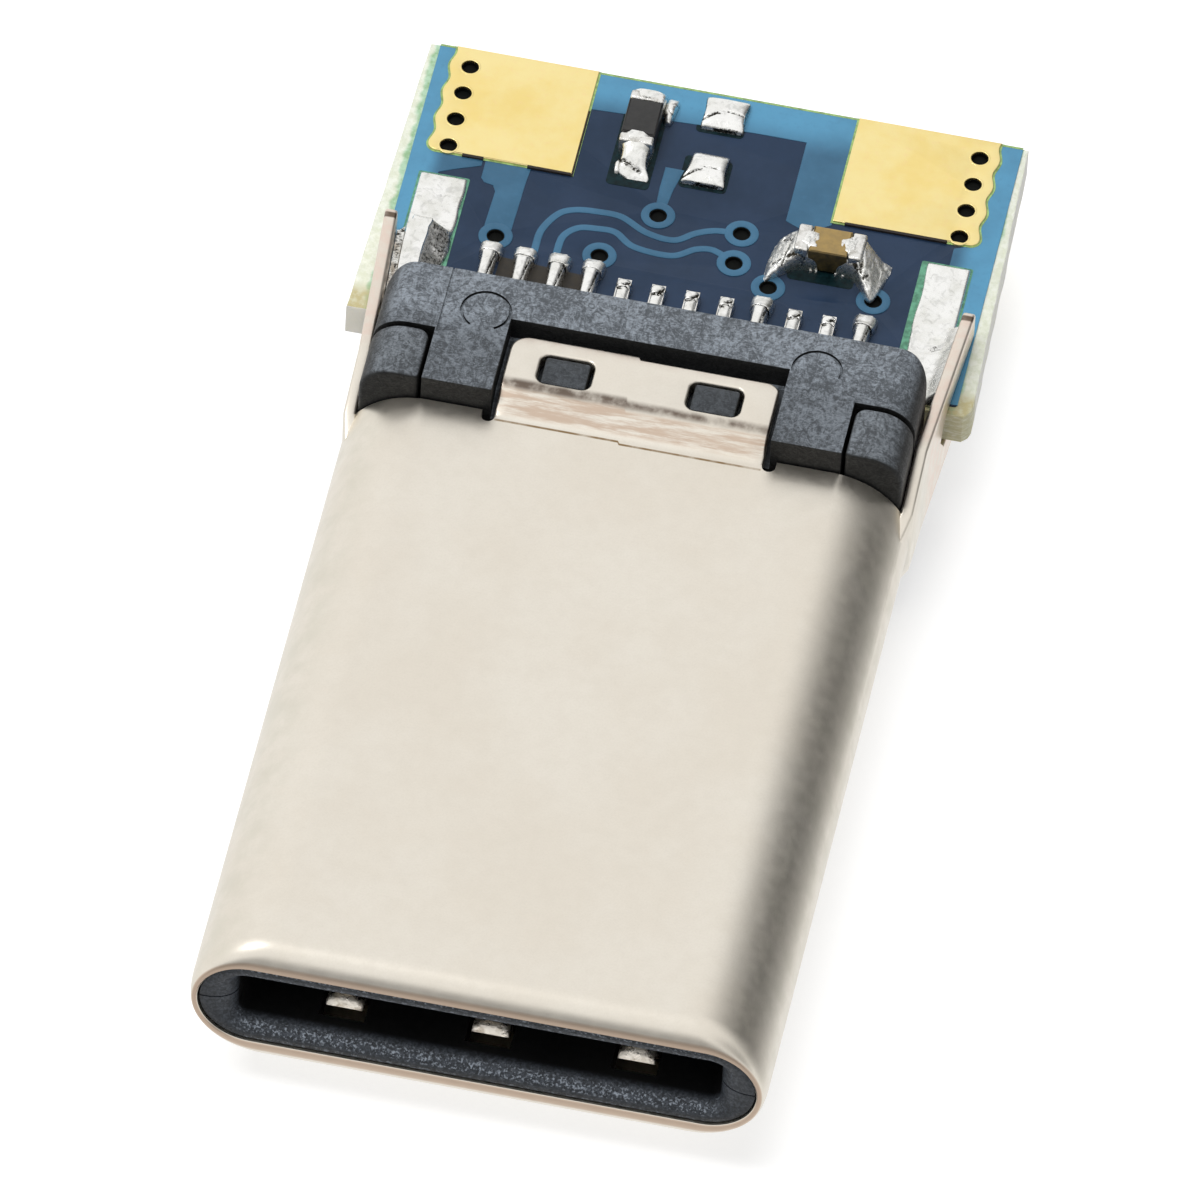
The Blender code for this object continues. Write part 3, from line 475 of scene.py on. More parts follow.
def mask(name, low, high, outer=None):
    """Clear blue lacquer over bare laminate or over copper, brighter at the board's edges where given."""
    n = Surface(name, low, 0.0, 0.32)
    cloud = n.noise(0.9, 4.0, 0.6)
    base = n.blend(cloud.ramp(0.32, 0.7), low, high)
    weave = n.noise(10.0, 3.0, 0.6)
    if outer:
        out = n.math("MAXIMUM", abs(n.axis("X")).ramp(3.75, 4.02), n.axis("Y").ramp(17.15, 17.75))
        base = n.blend(out * cloud.ramp(0.25, 0.6, 0.7, 1.0), base, outer)
    base = n.blend(weave.ramp(0.5, 0.8, 0.0, 0.25), base, shade(low, 1.5))
    n.set(Base_Color=base, Roughness=cloud.ramp(0.3, 0.7, 0.28, 0.38), Specular_IOR_Level=0.22)
    n.bump(weave, 0.0012)
    return n.mat


def laminate():
    """Cut edge and margin of the board: pale resin, greener by the lacquer, brown in front; its cut sides
    near white, partly the resin's own colour and partly painted light, olive towards the front.
    """
    n = Surface("laminate", (0.62, 0.645, 0.52), 0.0, 0.6)
    weave = n.noise(8.0, 4.0, 0.7, (1.0, 1.0, 4.0))
    woven = weave.ramp(0.35, 0.65)
    near = n.blend(woven, (0.26, 0.43, 0.24), (0.42, 0.6, 0.44))
    far = n.blend(woven, (0.64, 0.67, 0.54), (0.76, 0.78, 0.69))
    patches = n.noise(1.6).ramp(0.35, 0.65, 0.0, 0.07)
    base = n.blend((abs(n.axis("X")) - patches).ramp(4.27, 4.34), near, far)
    front = n.axis("Y").ramp(13.05, 13.35, 1.0, 0.0) * weave.ramp(0.3, 0.6, 0.4, 1.0)
    base = n.blend(front, base, (0.47, 0.42, 0.23))
    # Cut sides: near white, partly the resin's own colour and partly painted light, olive towards the front
    # right
    stained_side_and_painted_light = n.blend(front * n.axis("X").ramp(-2.0, 2.0), (0.93, 0.93, 0.86), (0.62, 0.59, 0.36))
    n.set(Base_Color=n.blend(abs(n.facing("Z")).ramp(0.3, 0.8, 1.0, 0.0), base, stained_side_and_painted_light),
          Subsurface_Weight=0.15, Subsurface_Radius=(0.0003, 0.0003, 0.0002), Subsurface_Scale=0.5)
    n.bump(weave, 0.01)
    return n.mat


def simple(name, color, roughness, spread_by=0.35, sheen=0.5):
    """Matt or glazed surface with a fine, uneven tone."""
    n = Surface(name, color, 0.0, roughness)
    cloud = n.noise(10.0, 4.0, 0.6)
    n.set(Base_Color=n.blend(cloud.ramp(0.3, 0.7), shade(color, 1 - spread_by), shade(color, 1 + spread_by)),
          Roughness=cloud.ramp(0.3, 0.7, roughness - 0.05, roughness + 0.08), Specular_IOR_Level=sheen)
    n.bump(cloud, 0.003)
    return n.mat


def ceramic():
    """Fired ceramic: a plain ochre top over darker sides, whose darkness is painted shade."""
    n = Surface("capacitor_ceramic", (0.275, 0.185, 0.06), 0.0, 0.5)
    cloud = n.noise(9.0, 4.0, 0.65)
    top = n.blend(cloud.ramp(0.3, 0.7), (0.235, 0.158, 0.051), (0.315, 0.212, 0.069))
    # The sides, painted darker as shade
    low = n.blend(cloud.ramp(0.35, 0.65), (0.03, 0.024, 0.01), (0.085, 0.062, 0.02))
    n.set(Base_Color=n.blend(n.facing("Z").ramp(0.55, 0.9), low, top),
          Roughness=cloud.ramp(0.3, 0.7, 0.42, 0.58))
    n.bump(cloud, 0.003)
    return n.mat


# Painted shade: the ground springs turn near black past their crests, further into the mouth
MOUTH_SHADE_METAL = (0.05, 0.04, 0.028)
TINNED = (COLLAR_END - 0.1, COLLAR_END, 1.0, (0.88, 0.87, 0.84), (0.45, 0.42, 0.36))
SHADED = (SPRING_LINE[4][0], SPRING_LINE[4][0] + 0.05, 0.9, MOUTH_SHADE_METAL, MOUTH_SHADE_METAL)

# Materials by look; the last three go by the start of the names of CAD nodes that stay
LOOKS = {
    "nickel": nickel(),
    "collar": moulded("collar_plastic", (0.178, 0.2, 0.226)),
    "corner": moulded("corner_plastic", (0.19, 0.212, 0.236)),
    "mouth": dark_plastic(),
    "spring": metal("spring_metal", (0.88, 0.82, 0.73), (0.46, 0.39, 0.3), 0.3, 0.24, 0.38, 0.006, SHADED),
    "gold": gold(),
    "bright": solder("solder_bright", 0.2, 0.22, 0.004, 9.0),
    "crusted": solder("solder_crusted", 0.55, 0.26, 0.01, 16.0),
    "mask": mask("lacquer_on_laminate", (0.01, 0.024, 0.052), (0.015, 0.032, 0.068)),
    "copper": mask("lacquer_on_copper", (0.034, 0.105, 0.18), (0.048, 0.14, 0.235), (0.085, 0.27, 0.43)),
    "laminate": laminate(),
    "rim": simple("opening_rim", (0.25, 0.38, 0.14), 0.5),
    "pad_rim": simple("pad_rim", (0.1, 0.26, 0.17), 0.5, sheen=0.3),
    "shade": simple("opening_shadow", (0.012, 0.008, 0.006), 0.6),
    "bare": simple("bare_laminate", (0.022, 0.018, 0.013), 0.6),
    "barrel": simple("hole_wall_painted_shade", (0.005, 0.0055, 0.005), 0.7, sheen=0.08),
    "film": simple("flux_and_painted_shadow", (0.003, 0.013, 0.016), 0.35, 0.5, 0.15),
    "resistor": simple("resistor_glaze", (0.012, 0.0115, 0.011), 0.4, 0.4),
    "capacitor": ceramic(),
    "terminal": metal("terminal_metal", (0.84, 0.83, 0.8), (0.35, 0.33, 0.28), 0.26, 0.2, 0.34, 0.012),
    "contact_carrier": simple("carrier_plastic", (0.03, 0.03, 0.033), 0.55),
    "contact_": metal("contact_metal", (0.9, 0.8, 0.58), (0.75, 0.6, 0.35), 0.28, 0.24, 0.36, 0.003, TINNED),
    "latch_plate": metal("latch_metal", (0.66, 0.64, 0.6), (0.5, 0.47, 0.42), 0.33, 0.27, 0.41),
}


# Outlines

def arc(cx, cy, r, start, end, steps):
    angles = [math.radians(a) for a in spread(start, end, steps)]
    return [(cx + r * math.cos(a), cy + r * math.sin(a)) for a in angles]


def circle(x, y, r):
    return arc(x, y, r, 0, 360, 32)[:-1]


def rectangle(x0, x1, y0, y1):
    return [(x0, y0), (x1, y0), (x1, y1), (x0, y1)]


def rounded(x0, x1, y0, y1, radii, steps=8):
    """Rectangle with corner radii from the lower left one round to the upper left one."""
    corners = ((x0, y0, 180, 1, 1), (x1, y0, 270, -1, 1), (x1, y1, 0, -1, -1), (x0, y1, 90, 1, -1))
    radii = radii if isinstance(radii, tuple) else (radii,) * 4
    points = []
    for (cx, cy, start, sx, sy), r in zip(corners, radii):
        points += arc(cx + sx * r, cy + sy * r, r, start, start + 90, steps) if r else [(cx, cy)]
    return points


def smooth_path(path, per_span):
    """Points of a curve that passes through the given ones."""
    knots = [Vector(p) for p in path]
    knots = [2 * knots[0] - knots[1]] + knots + [2 * knots[-1] - knots[-2]]
    points = []
    for a, b, c, d in zip(knots, knots[1:], knots[2:], knots[3:]):
        for k in range(per_span):
            t = k / per_span
            points.append(0.5 * (2 * b + (c - a) * t + (2 * a - 5 * b + 4 * c - d) * t ** 2
                                 + (3 * b - a - 3 * c + d) * t ** 3))
    points.append(knots[-2])
    return points


def band(path, width, per_span=8):
    """Outline of a strip of even width along a smooth path."""
    points = smooth_path(path, per_span)
    left, right = [], []
    for k, p in enumerate(points):
        along = (points[min(k + 1, len(points) - 1)] - points[max(k - 1, 0)]).normalized() * width / 2
        side = Vector((-along.y, along.x))
        left.append(p + side)
        right.append(p - side)
    return [(p.x, p.y) for p in right + left[::-1]]


def signed_area(points):
    return sum(a[0] * b[1] - b[0] * a[1] for a, b in zip(points, points[1:] + points[:1])) / 2


def inset(points, depth):
    """Moves an outline's sides to their left by depth."""
    moved = []
    for k, point in enumerate(points):
        before = (Vector(point) - Vector(points[k - 1])).normalized()
        after = (Vector(points[(k + 1) % len(points)]) - Vector(point)).normalized()
        normal_a, normal_b = Vector((-before.y, before.x)), Vector((-after.y, after.x))
        miter = (normal_a + normal_b) / max(1 + normal_a.dot(normal_b), 0.35)
        moved.append(Vector(point) + miter * depth)
    return moved


def oval(half_w, half_h, y):
    """Section of the plug, with round ends, at a distance from its mouth."""
    c = half_w - half_h
    return section(arc(c, 0, half_h, -90, 90, 40) + arc(-c, 0, half_h, 90, 270, 40), y)


def section(points, y):
    return [(x, y, z) for x, z in points]


# Meshes

def skin(bm, rings):
    """Faces between each ring of vertices and the next."""
    for a, b in zip(rings, rings[1:]):
        for i in range(len(a)):
            j = (i + 1) % len(a)
            bm.faces.new((a[i], a[j], b[j], b[i]))


def slab(outlines, low, high, edge=0.03, steps=3, edge_low=None):
    """Plate with rounded rims from flat outlines, the first filled and the rest holes."""
    edge_low = edge if edge_low is None else edge_low
    turns = [math.radians(a) for a in spread(0, 90, steps)]
    levels = [(edge_low * (1 - math.sin(t)), low + edge_low * (1 - math.cos(t))) for t in turns]
    tops = [(edge * (1 - math.cos(t)), high - edge * (1 - math.sin(t))) for t in turns]
    levels = (levels if edge_low else levels[:1]) + (tops if edge else tops[-1:])
    bm = bmesh.new()
    rims = []
    for number, points in enumerate(outlines):
        if (signed_area(points) > 0) != (number == 0):
            points = points[::-1]
        rings = [[bm.verts.new((p[0], p[1], z)) for p in inset(points, depth)] for depth, z in levels]
        skin(bm, rings)
        rims.append((rings[0], rings[-1]))
    for which in (0, 1):
        loops = [pair[which] for pair in rims]
        edges = [bm.edges.get((loop[i - 1], loop[i])) for loop in loops for i in range(len(loop))]
        bmesh.ops.triangle_fill(bm, use_beauty=True, edges=edges)
    bmesh.ops.recalc_face_normals(bm, faces=bm.faces)
    return bm


def layer(outlines, low, high, edge=0.0, steps=3):
    """Thin slab on the board's upper face, with heights counted from it."""
    return slab(outlines, BOARD_TOP + low, BOARD_TOP + high, edge, steps, 0.0)


def loft(rings, closed_path=False, stains_and_painted_shade=()):
    """Skin over rings of points; the end rings are capped unless the path closes."""
    bm = bmesh.new()
    loops = [[bm.verts.new(p) for p in ring] for ring in rings]
    if closed_path:
        loops.append(loops[0])
    else:
        bm.faces.new(loops[0])
        bm.faces.new(loops[-1])
    skin(bm, loops)
    bmesh.ops.recalc_face_normals(bm, faces=bm.faces)
    if stains_and_painted_shade:
        mark = bm.verts.layers.float.new("painted_shade_and_stain")
        for v, painted_shade_and_stain in zip(bm.verts, stains_and_painted_shade):
            v[mark] = painted_shade_and_stain
    return bm


def boxes(*limits):
    """One or more boxes, each given as x0, x1, y0, y1, z0, z1."""
    bm = bmesh.new()
    for x0, x1, y0, y1, z0, z1 in limits:
        middle = Vector((x0 + x1, y0 + y1, z0 + z1)) / 2
        size = Matrix.Diagonal((x1 - x0, y1 - y0, z1 - z0, 1.0))
        bmesh.ops.create_cube(bm, size=1.0, matrix=Matrix.Translation(middle) @ size)
    return bm


def lead_slots(room, y0, y1, z0, z1):
    """A slot for each lead, with some room beside it."""
    half = LEAD_W / 2 + room
    return boxes(*[(x - half, x + half, y0, y1, z0, z1) for x in LEADS])


def slice_up(bm, axis, places):
    """Adds edge loops across an axis, so that the mesh can be bent there."""
    direction = Vector([float("xyz".index(axis) == k) for k in range(3)])
    for place in places:
        bmesh.ops.bisect_plane(bm, geom=bm.verts[:] + bm.edges[:] + bm.faces[:], dist=1e-5,
                               plane_co=direction * place, plane_no=direction)
    return bm


def warp(bm, shape):
    for v in bm.verts:
        v.co = shape(v.co.copy())
    bmesh.ops.recalc_face_normals(bm, faces=bm.faces)
    return bm


def turned(bm):
    """A copy after half a turn about y."""
    twin = bm.copy()
    twin.transform(HALF_TURN)
    return twin


def both(*meshes):
    """The meshes, each with its turned copy before it."""
    return [each for bm in meshes for each in (turned(bm), bm)]


def to_object(name, bm):
    """Moves a mesh into an object of the scene."""
    data = bpy.data.meshes.new(name)
    bm.to_mesh(data)
    bm.free()
    obj = bpy.data.objects.new(name, data)
    bpy.context.scene.collection.objects.link(obj)
    return obj


def merged(meshes):
    """One mesh that holds several, side by side."""
    target = bmesh.new()
    for bm in meshes:
        data = bpy.data.meshes.new("part")
        bm.to_mesh(data)
        bm.free()
        target.from_mesh(data)
        bpy.data.meshes.remove(data)
    return target


def combined(base, joins=(), cuts=(), keeps=()):
    """The result of joining meshes to a base, cutting some from it and keeping what lies in others."""
    stages = [("UNION", bm) for bm in joins] + [("DIFFERENCE", bm) for bm in cuts]
    stages += [("INTERSECT", bm) for bm in keeps]
    temporary = [to_object("part", bm) for bm in [base] + [bm for _, bm in stages]]
    for (operation, _), tool in zip(stages, temporary[1:]):
        step = temporary[0].modifiers.new(operation, "BOOLEAN")
        step.operation = operation
        step.solver = "EXACT"
        step.object = tool
    deps = bpy.context.evaluated_depsgraph_get()
    data = bpy.data.meshes.new_from_object(temporary[0].evaluated_get(deps))
    result = bmesh.new()
    result.from_mesh(data)
    bpy.data.meshes.remove(data)
    for each in temporary:
        data = each.data
        bpy.data.objects.remove(each)
        bpy.data.meshes.remove(data)
    return result


def soften(bm, width):
    """Rounds the edges between faces that meet at a clear angle."""
    bmesh.ops.remove_doubles(bm, verts=bm.verts, dist=0.0005)
    bmesh.ops.dissolve_limit(bm, angle_limit=math.radians(0.5), verts=bm.verts, edges=bm.edges)
    sharp = [e for e in bm.edges if e.is_manifold and e.calc_face_angle(0.0) > math.radians(35)]
    bmesh.ops.bevel(bm, geom=sharp, offset=width, offset_type="OFFSET", segments=4, profile=0.5,
                    affect="EDGES", clamp_overlap=True)
    return bm


def add_piece(name, bm, look, nodes=(), smooth_under=40):
    """Makes the object, in its place in the world, and ties it to the frame."""
    for v in bm.verts:
        v.co = ORIGIN + v.co * MM
    obj = to_object(name, bm)
    obj.data.materials.append(LOOKS[look])
    obj.data.shade_smooth()
    obj.data.set_sharp_from_angle(angle=math.radians(smooth_under))
    weigh = obj.modifiers.new("weighted", "WEIGHTED_NORMAL")
    weigh.keep_sharp = True
    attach(obj, "root")
    if nodes:
        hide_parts(*nodes)


def add_both(name, bm, look, node=None, tag="", other="", smooth_under=40):
    """A piece above the mid plane and the same one below it, turned."""
    twin = turned(bm)
    for part, place in ((bm, "_top" + tag), (twin, "_bottom" + other)):
        add_piece(name + place, part, look, [node + place] if node else (), smooth_under)


def add_faces(name, bm, look):
    """A layer on the board's upper face and its mirror image on the lower one, round the same holes."""
    twin = bm.copy()
    bmesh.ops.scale(twin, vec=(1.0, 1.0, -1.0), verts=twin.verts)
    bmesh.ops.reverse_faces(twin, faces=twin.faces)
    add_piece(name + "_top", bm, look)
    add_piece(name + "_bottom", twin, look)


# Shell

def tab_points():
    """The upper face's path: out of the wall, up the slope and back, with both bends rounded."""
    level = SHELL_H / 2 - 0.004
    flat = Vector((1, 0))
    slope = Vector((TAB_BREAK - TAB_FOOT, TAB_TOP - SHELL_H / 2)).normalized()
    path = [Vector((TAB_FOOT - 0.25, level)), Vector((TAB_FOOT - 0.12, level))]
    for corner, before, after in ((Vector((TAB_FOOT, level)), flat, slope),
                                  (Vector((TAB_BREAK, TAB_TOP)), slope, flat)):
        for t in spread(0, 1, 8):
            a = corner - before * TAB_BEND * (1 - t)
            b = corner + after * TAB_BEND * t
            path.append(a * (1 - t) + b * t)
    return path + [Vector((TAB_END, TAB_TOP))]


def along_path(path, distance):
    """Point and direction at a distance along a path of points."""
    for a, b in zip(path, path[1:]):
        step = (b - a).length
        if distance <= step or b is path[-1]:
            return a + (b - a) * (distance / step if step else 0.0), (b - a).normalized()
        distance -= step


def make_tab():
    """Pressed tab: a flat sheet with windows, bent up from the tube and back, stepped at its rear edge."""
    path = tab_points()
    reach = [0.0]
    for a, b in zip(path, path[1:]):
        reach.append(reach[-1] + (b - a).length)
    total = reach[-1]
    window_mid = total - (TAB_END - WINDOW_Y)
    outline = rounded(-TAB_W / 2, TAB_W / 2, 0.0, total, (0, 0, TAB_CORNER * 0.8, TAB_CORNER * 1.15))
    half_w, half_l = WINDOW_W / 2, WINDOW_L / 2
    windows = [rounded(x - half_w, x + half_w, window_mid - half_l, window_mid + half_l, WINDOW_CORNER)
               for x in (-WINDOW_X, WINDOW_X)]
    sheet = slab([outline] + windows, -WALL, 0.0, 0.035)
    slice_up(sheet, "y", reach[1:-1])
    slice_up(sheet, "x", (STEP_X - 0.02, STEP_X + 0.01))
    behind = window_mid + half_l + 0.03

    def bend(p):
        step = TAB_STEP if p.x > STEP_X else 0.0
        point, direction = along_path(path, p.y - step * clamp((p.y - behind) / 0.15))
        normal = Vector((-direction.y, direction.x))
        return Vector((p.x, point.x + normal.x * p.z, point.y + normal.y * p.z))

    return warp(sheet, bend)


def leg_face(y):
    return LEG_IN + LEG_SPLAY * max(y - STEP_Y, 0.0) / (LEG_END - STEP_Y)


def make_leg():
    """Right leg: a sheet that leaves the tube's side, slit for the board and splayed outward."""
    root = 0.4
    slit = BOARD_TOP + 0.03
    slit_start = BOARD_Y - 0.06
    half = [(SHELL_LEN - root, 0.45), (SHELL_LEN - 0.02, 0.62), (SHELL_LEN + 0.35, 0.72), (STEP_Y, LEG_TOP)]
    half += arc(LEG_END - LEG_ROUND, LEG_TOP - LEG_ROUND, LEG_ROUND, 90, 0, 6)
    fork = [(LEG_END, slit), (slit_start, slit), (slit_start - 0.24, 0.0)]
    outline = half + fork + [(y, -z) for y, z in reversed(half + fork[:-1])]
    sheet = slab([outline], 0.0, LEG_T, 0.04)
    bends = [SHELL_LEN - 0.3, SHELL_LEN - 0.02, STEP_Y - 0.1, STEP_Y + 0.15, 12.2, 12.8, 13.4, 14.0]
    slice_up(sheet, "x", bends)

    def place(p):
        lean = clamp((SHELL_LEN - p.x) / root) * 0.09
        return Vector((leg_face(p.x) - lean + p.z, p.x, p.y))

    return warp(sheet, place)


def make_shell():
    half_w, half_h = SHELL_W / 2, SHELL_H / 2
    rings = []
    for a in spread(0, math.pi / 2, 18):
        drawn = 1 - math.cos(a)
        y = NOSE_DROP * (1 - math.sin(a))
        rings.append(oval(half_w - NOSE_SIDE * drawn, half_h - NOSE_DROP * drawn, y))
    rings += [oval(NOSE_X + NOSE_BREAK, NOSE_Z + NOSE_BREAK, 0.0), oval(NOSE_X, NOSE_Z, NOSE_BREAK),
              oval(NOSE_X, NOSE_Z, WALL), oval(half_w - WALL, half_h - WALL, NOSE_END),
              oval(half_w - WALL, half_h - WALL, SHELL_LEN), oval(half_w, half_h, SHELL_LEN)]
    tube = loft(rings, closed_path=True)
    cutters = []
    for side in (-1, 1):
        x = side * (TAB_W / 2 + RELIEF_R - 0.01)
        slot = arc(x, SHELL_LEN - RELIEF_R, RELIEF_R, 180, 360, 12)
        slot += [(x + RELIEF_R, TAB_END), (x - RELIEF_R, TAB_END)]
        cutters.append(slab([slot], half_h - WALL - 0.2, TAB_TOP + 0.2, 0.0))
    body = combined(combined(tube, cuts=both(*cutters)), joins=both(make_tab(), make_leg()))
    add_piece("shell_metal", body, "nickel", ["shell"], CRISP)


# Housings

def make_front_housing():
    """Moulded mouth with slots for the contact beams, the latch legs and the ground springs."""
    ring_x, ring_z = NOSE_X - FIT, NOSE_Z - FIT
    edge = 0.025
    body = loft([oval(ring_x - edge, ring_z - edge, RING_Y),
                 oval(ring_x - edge * 0.3, ring_z - edge * 0.3, RING_Y + edge * 0.3),
                 oval(ring_x, ring_z, RING_Y + edge), oval(ring_x, ring_z, WALL),
                 oval(INNER_W, INNER_H, NOSE_END), oval(INNER_W, INNER_H, MOUTH_DEPTH)])

    def opening(share, y):
        x = MOUTH_X + (ring_x - RING_LAND - MOUTH_X) * share
        z = MOUTH_Z + (ring_z - RING_LAND - MOUTH_Z) * share
        return section(rounded(-x, x, -z, z, MOUTH_R + (ring_z - RING_LAND - FIT - MOUTH_R) * share), y)

    rounds = [opening(1 - math.sin(a), RING_Y + MOUTH_ROUND * (1 - math.cos(a)))
              for a in spread(0, math.pi / 2, 14)]
    mouth = loft([opening(1.0, RING_Y - PAST)] + rounds + [opening(0.0, MOUTH_DEPTH + PAST)])
    back = MOUTH_DEPTH + PAST
    slots = lead_slots(0.03, SLOT_Y, back, MOUTH_FLOOR, SLOT_TOP)
    half = SPRING_W / 2 + 0.05
    limits = (SPRING_LINE[-1][0] - 0.22, SPRING_Y + 0.21, MOUTH_FLOOR, INNER_H + PAST)
    rooms = [boxes((x + SPRING_SHIFT - half, x + SPRING_SHIFT + half, *limits)) for x in SPRING_X]
    rooms.append(boxes((BAR_X[0] - 0.05, BAR_X[1] + 0.05, SPRING_Y - 0.04, SPRING_Y + BAR_L + 0.04,
                        INNER_H - SPRING_T - 0.02, INNER_H + PAST)))
    latch = boxes((MOUTH_X - 0.15, MOUTH_X + 0.27, LATCH_Y, back, -LATCH_HALF_H, LATCH_HALF_H))
    seams = [boxes((x - 0.3, x + 0.3, RING_Y - 0.1, RING_Y + 0.3, -SEAM_HALF_H, SEAM_HALF_H))
             for x in (-SEAM_X, SEAM_X)]
    body = combined(body, cuts=[mouth] + both(slots, latch) + seams + both(*rooms))
    add_piece("mouth_housing", body, "mouth", ["front_housing"], CRISP)


def make_springs():
    """Ground springs: a bar under the shell with three fingers whose crests stand in the mouth."""
    outline = band(SPRING_LINE, SPRING_T, 5)
    half = SPRING_W / 2
    fingers = []
    for x in SPRING_X:

        def crown(p):
            curl = max(0.0, 1 - abs(p.x - SPRING_LINE[5][0]) / 0.2)
            wear_and_painted_sheen_dimming = 0.02 * noise.noise((p.z * 7 + x, p.x * 9, 0.0)) * curl
            rise = curl * (0.075 * (abs(p.z) / half) ** 4 + wear_and_painted_sheen_dimming)
            return Vector((x + SPRING_SHIFT + p.z * (1 - 0.06 * curl), p.x, p.y + rise))

        finger = slice_up(slab([outline], -half, half), "z", [half * k / 7 for k in range(-6, 7)])
        fingers.append(warp(finger, crown))
    plan = rounded(*BAR_X, SPRING_Y, SPRING_Y + BAR_L, 0.05)
    body = combined(slab([plan], INNER_H - SPRING_T, INNER_H, 0.015, 2), joins=fingers)
    add_both("ground_spring_metal", body, "spring", "ground_spring")


def collar_block(plan, rear):
    """Upright block over a plan, cut to the collar's rounded section."""
    profile = rounded(-COLLAR_X, COLLAR_X, -COLLAR_Z, COLLAR_Z, COLLAR_ROUND, 12)
    block = loft([section(profile, COLLAR_Y - 0.2), section(profile, rear)])
    return combined(slab([plan], -COLLAR_Z, COLLAR_Z, 0.0), keeps=[block])


def make_rear_housing():
    """Collar block with two arms, pockets under the tabs and bosses in their windows."""
    plan = arc(COLLAR_X - COLLAR_CORNER, COLLAR_END - COLLAR_CORNER, COLLAR_CORNER, 0, 90, 10)
    plan += arc(COLLAR_CORNER - COLLAR_X, COLLAR_END - COLLAR_CORNER, COLLAR_CORNER, 90, 180, 10)
    plan += [(-COLLAR_X, STEP_Y), (-ARM_OUT, STEP_Y), (-ARM_OUT, COLLAR_Y), (ARM_OUT, COLLAR_Y),
             (ARM_OUT, STEP_Y), (COLLAR_X, STEP_Y)]
    body = collar_block(plan, COLLAR_END + 0.2)
    pocket_floor = TAB_TOP - WALL - TAB_GAP
    pocket_front = CORE_Y - 0.2
    low, high = INNER_H + 0.005, COLLAR_Z + PAST
    pocket = [(pocket_front, low), (SHELL_LEN - 0.05, low), (TAB_BREAK + 0.05, pocket_floor),
              (POCKET_END, pocket_floor), (POCKET_END, high), (pocket_front, high)]
    hollow = loft([[(x, y, z) for y, z in pocket] for x in (-ARM_X, ARM_X)])
    body = soften(combined(body, cuts=both(hollow)), 0.07)
    half_x, half_y = WINDOW_W / 2 - 0.065, WINDOW_L / 2 - 0.02
    bosses = [slab([rounded(x - half_x, x + half_x, WINDOW_Y - half_y, WINDOW_Y + half_y, 0.05)],
                   pocket_floor - 0.1, TAB_TOP - 0.04, 0.035, 3, 0.0) for x in (-WINDOW_X, WINDOW_X)]
    core = loft([oval(CORE_X, INNER_H, CORE_Y), oval(CORE_X, INNER_H, COLLAR_Y + 0.2)])
    marks = []
    for x, start, end in ((-MARK_X, -60, 240), (MARK_X, -15, 195)):
        groove = arc(x, MARK_Y, MARK_R + MARK_HALF_W, start, end, 40)
        groove += arc(x, MARK_Y, MARK_R - MARK_HALF_W, end, start, 40)
        marks.append(slab([groove], COLLAR_Z - 0.05, COLLAR_Z + 0.1, 0.0))
    seam = boxes((0.02 - ARM_OUT, 0.05 - ARM_OUT, STEP_Y - 0.05, COLLAR_END + 0.1, COLLAR_Z - 0.03,
                  COLLAR_Z + 0.1))
    ways = lead_slots(0.015, COLLAR_END - 0.5, COLLAR_END + PAST, LEAD_LOW, LEAD_HIGH)
    body = combined(body, joins=[core] + both(*bosses), cuts=both(ways, seam, *marks))
    add_piece("collar_housing", body, "collar", ["rear_housing"], CRISP)


def make_corner_blocks():
    plan = [(BLOCK_IN, COLLAR_Y), (COLLAR_X, COLLAR_Y), (COLLAR_X, BLOCK_END)]
    plan += arc(BLOCK_IN + BLOCK_CORNER, BLOCK_END - BLOCK_CORNER, BLOCK_CORNER, 90, 180, 8)
    left, right = both(soften(collar_block(plan, COLLAR_END), 0.06))
    add_piece("corner_block_moulding_right", right, "corner", ["corner_block_right"], CRISP)
    add_piece("corner_block_moulding_left", left, "corner", ["corner_block_left"], CRISP)


# Board

def all_holes(grow=0.0):
    return [circle(x, y, HOLE_R + grow) for x, y in HOLES]


def edge_x(y):
    """Half width of the board, which tapers a little to the rear."""
    return BOARD_FRONT_X + (BOARD_REAR_X - BOARD_FRONT_X) * (y - BOARD_Y) / (BOARD_END - BOARD_Y)


def make_board():
    """Laminate core with its drilled holes, whose cut edge is slightly ragged."""
    right = []
    for y in spread(BOARD_Y, BOARD_END, 60):
        cut = max(0.0, 0.12 - (y - BOARD_Y))
        right.append((edge_x(y) - cut + (EDGE_WAVE * noise.noise((y * 2.3, 1.7, 0.0)) - EDGE_WAVE), y))
    left = [(-(edge_x(y) - EDGE_WAVE + EDGE_WAVE * noise.noise((y * 2.1, 7.2, 0.0))), y)
            for _, y in reversed(right)]
    body = slab([right + left] + all_holes(), -BOARD_TOP + MASK_T, BOARD_TOP - MASK_T, 0.03, 2)
    add_piece("board_laminate", body, "laminate", ["circuit_board"])


def make_mask():
    outline = rounded(-MASK_LEFT, MASK_RIGHT, MASK_FRONT, BOARD_END - 0.01, 0.05, 3)
    add_faces("board_lacquer", layer([outline] + all_holes(HOLE_GAP), -MASK_T, 0.0, 0.008, 2), "mask")


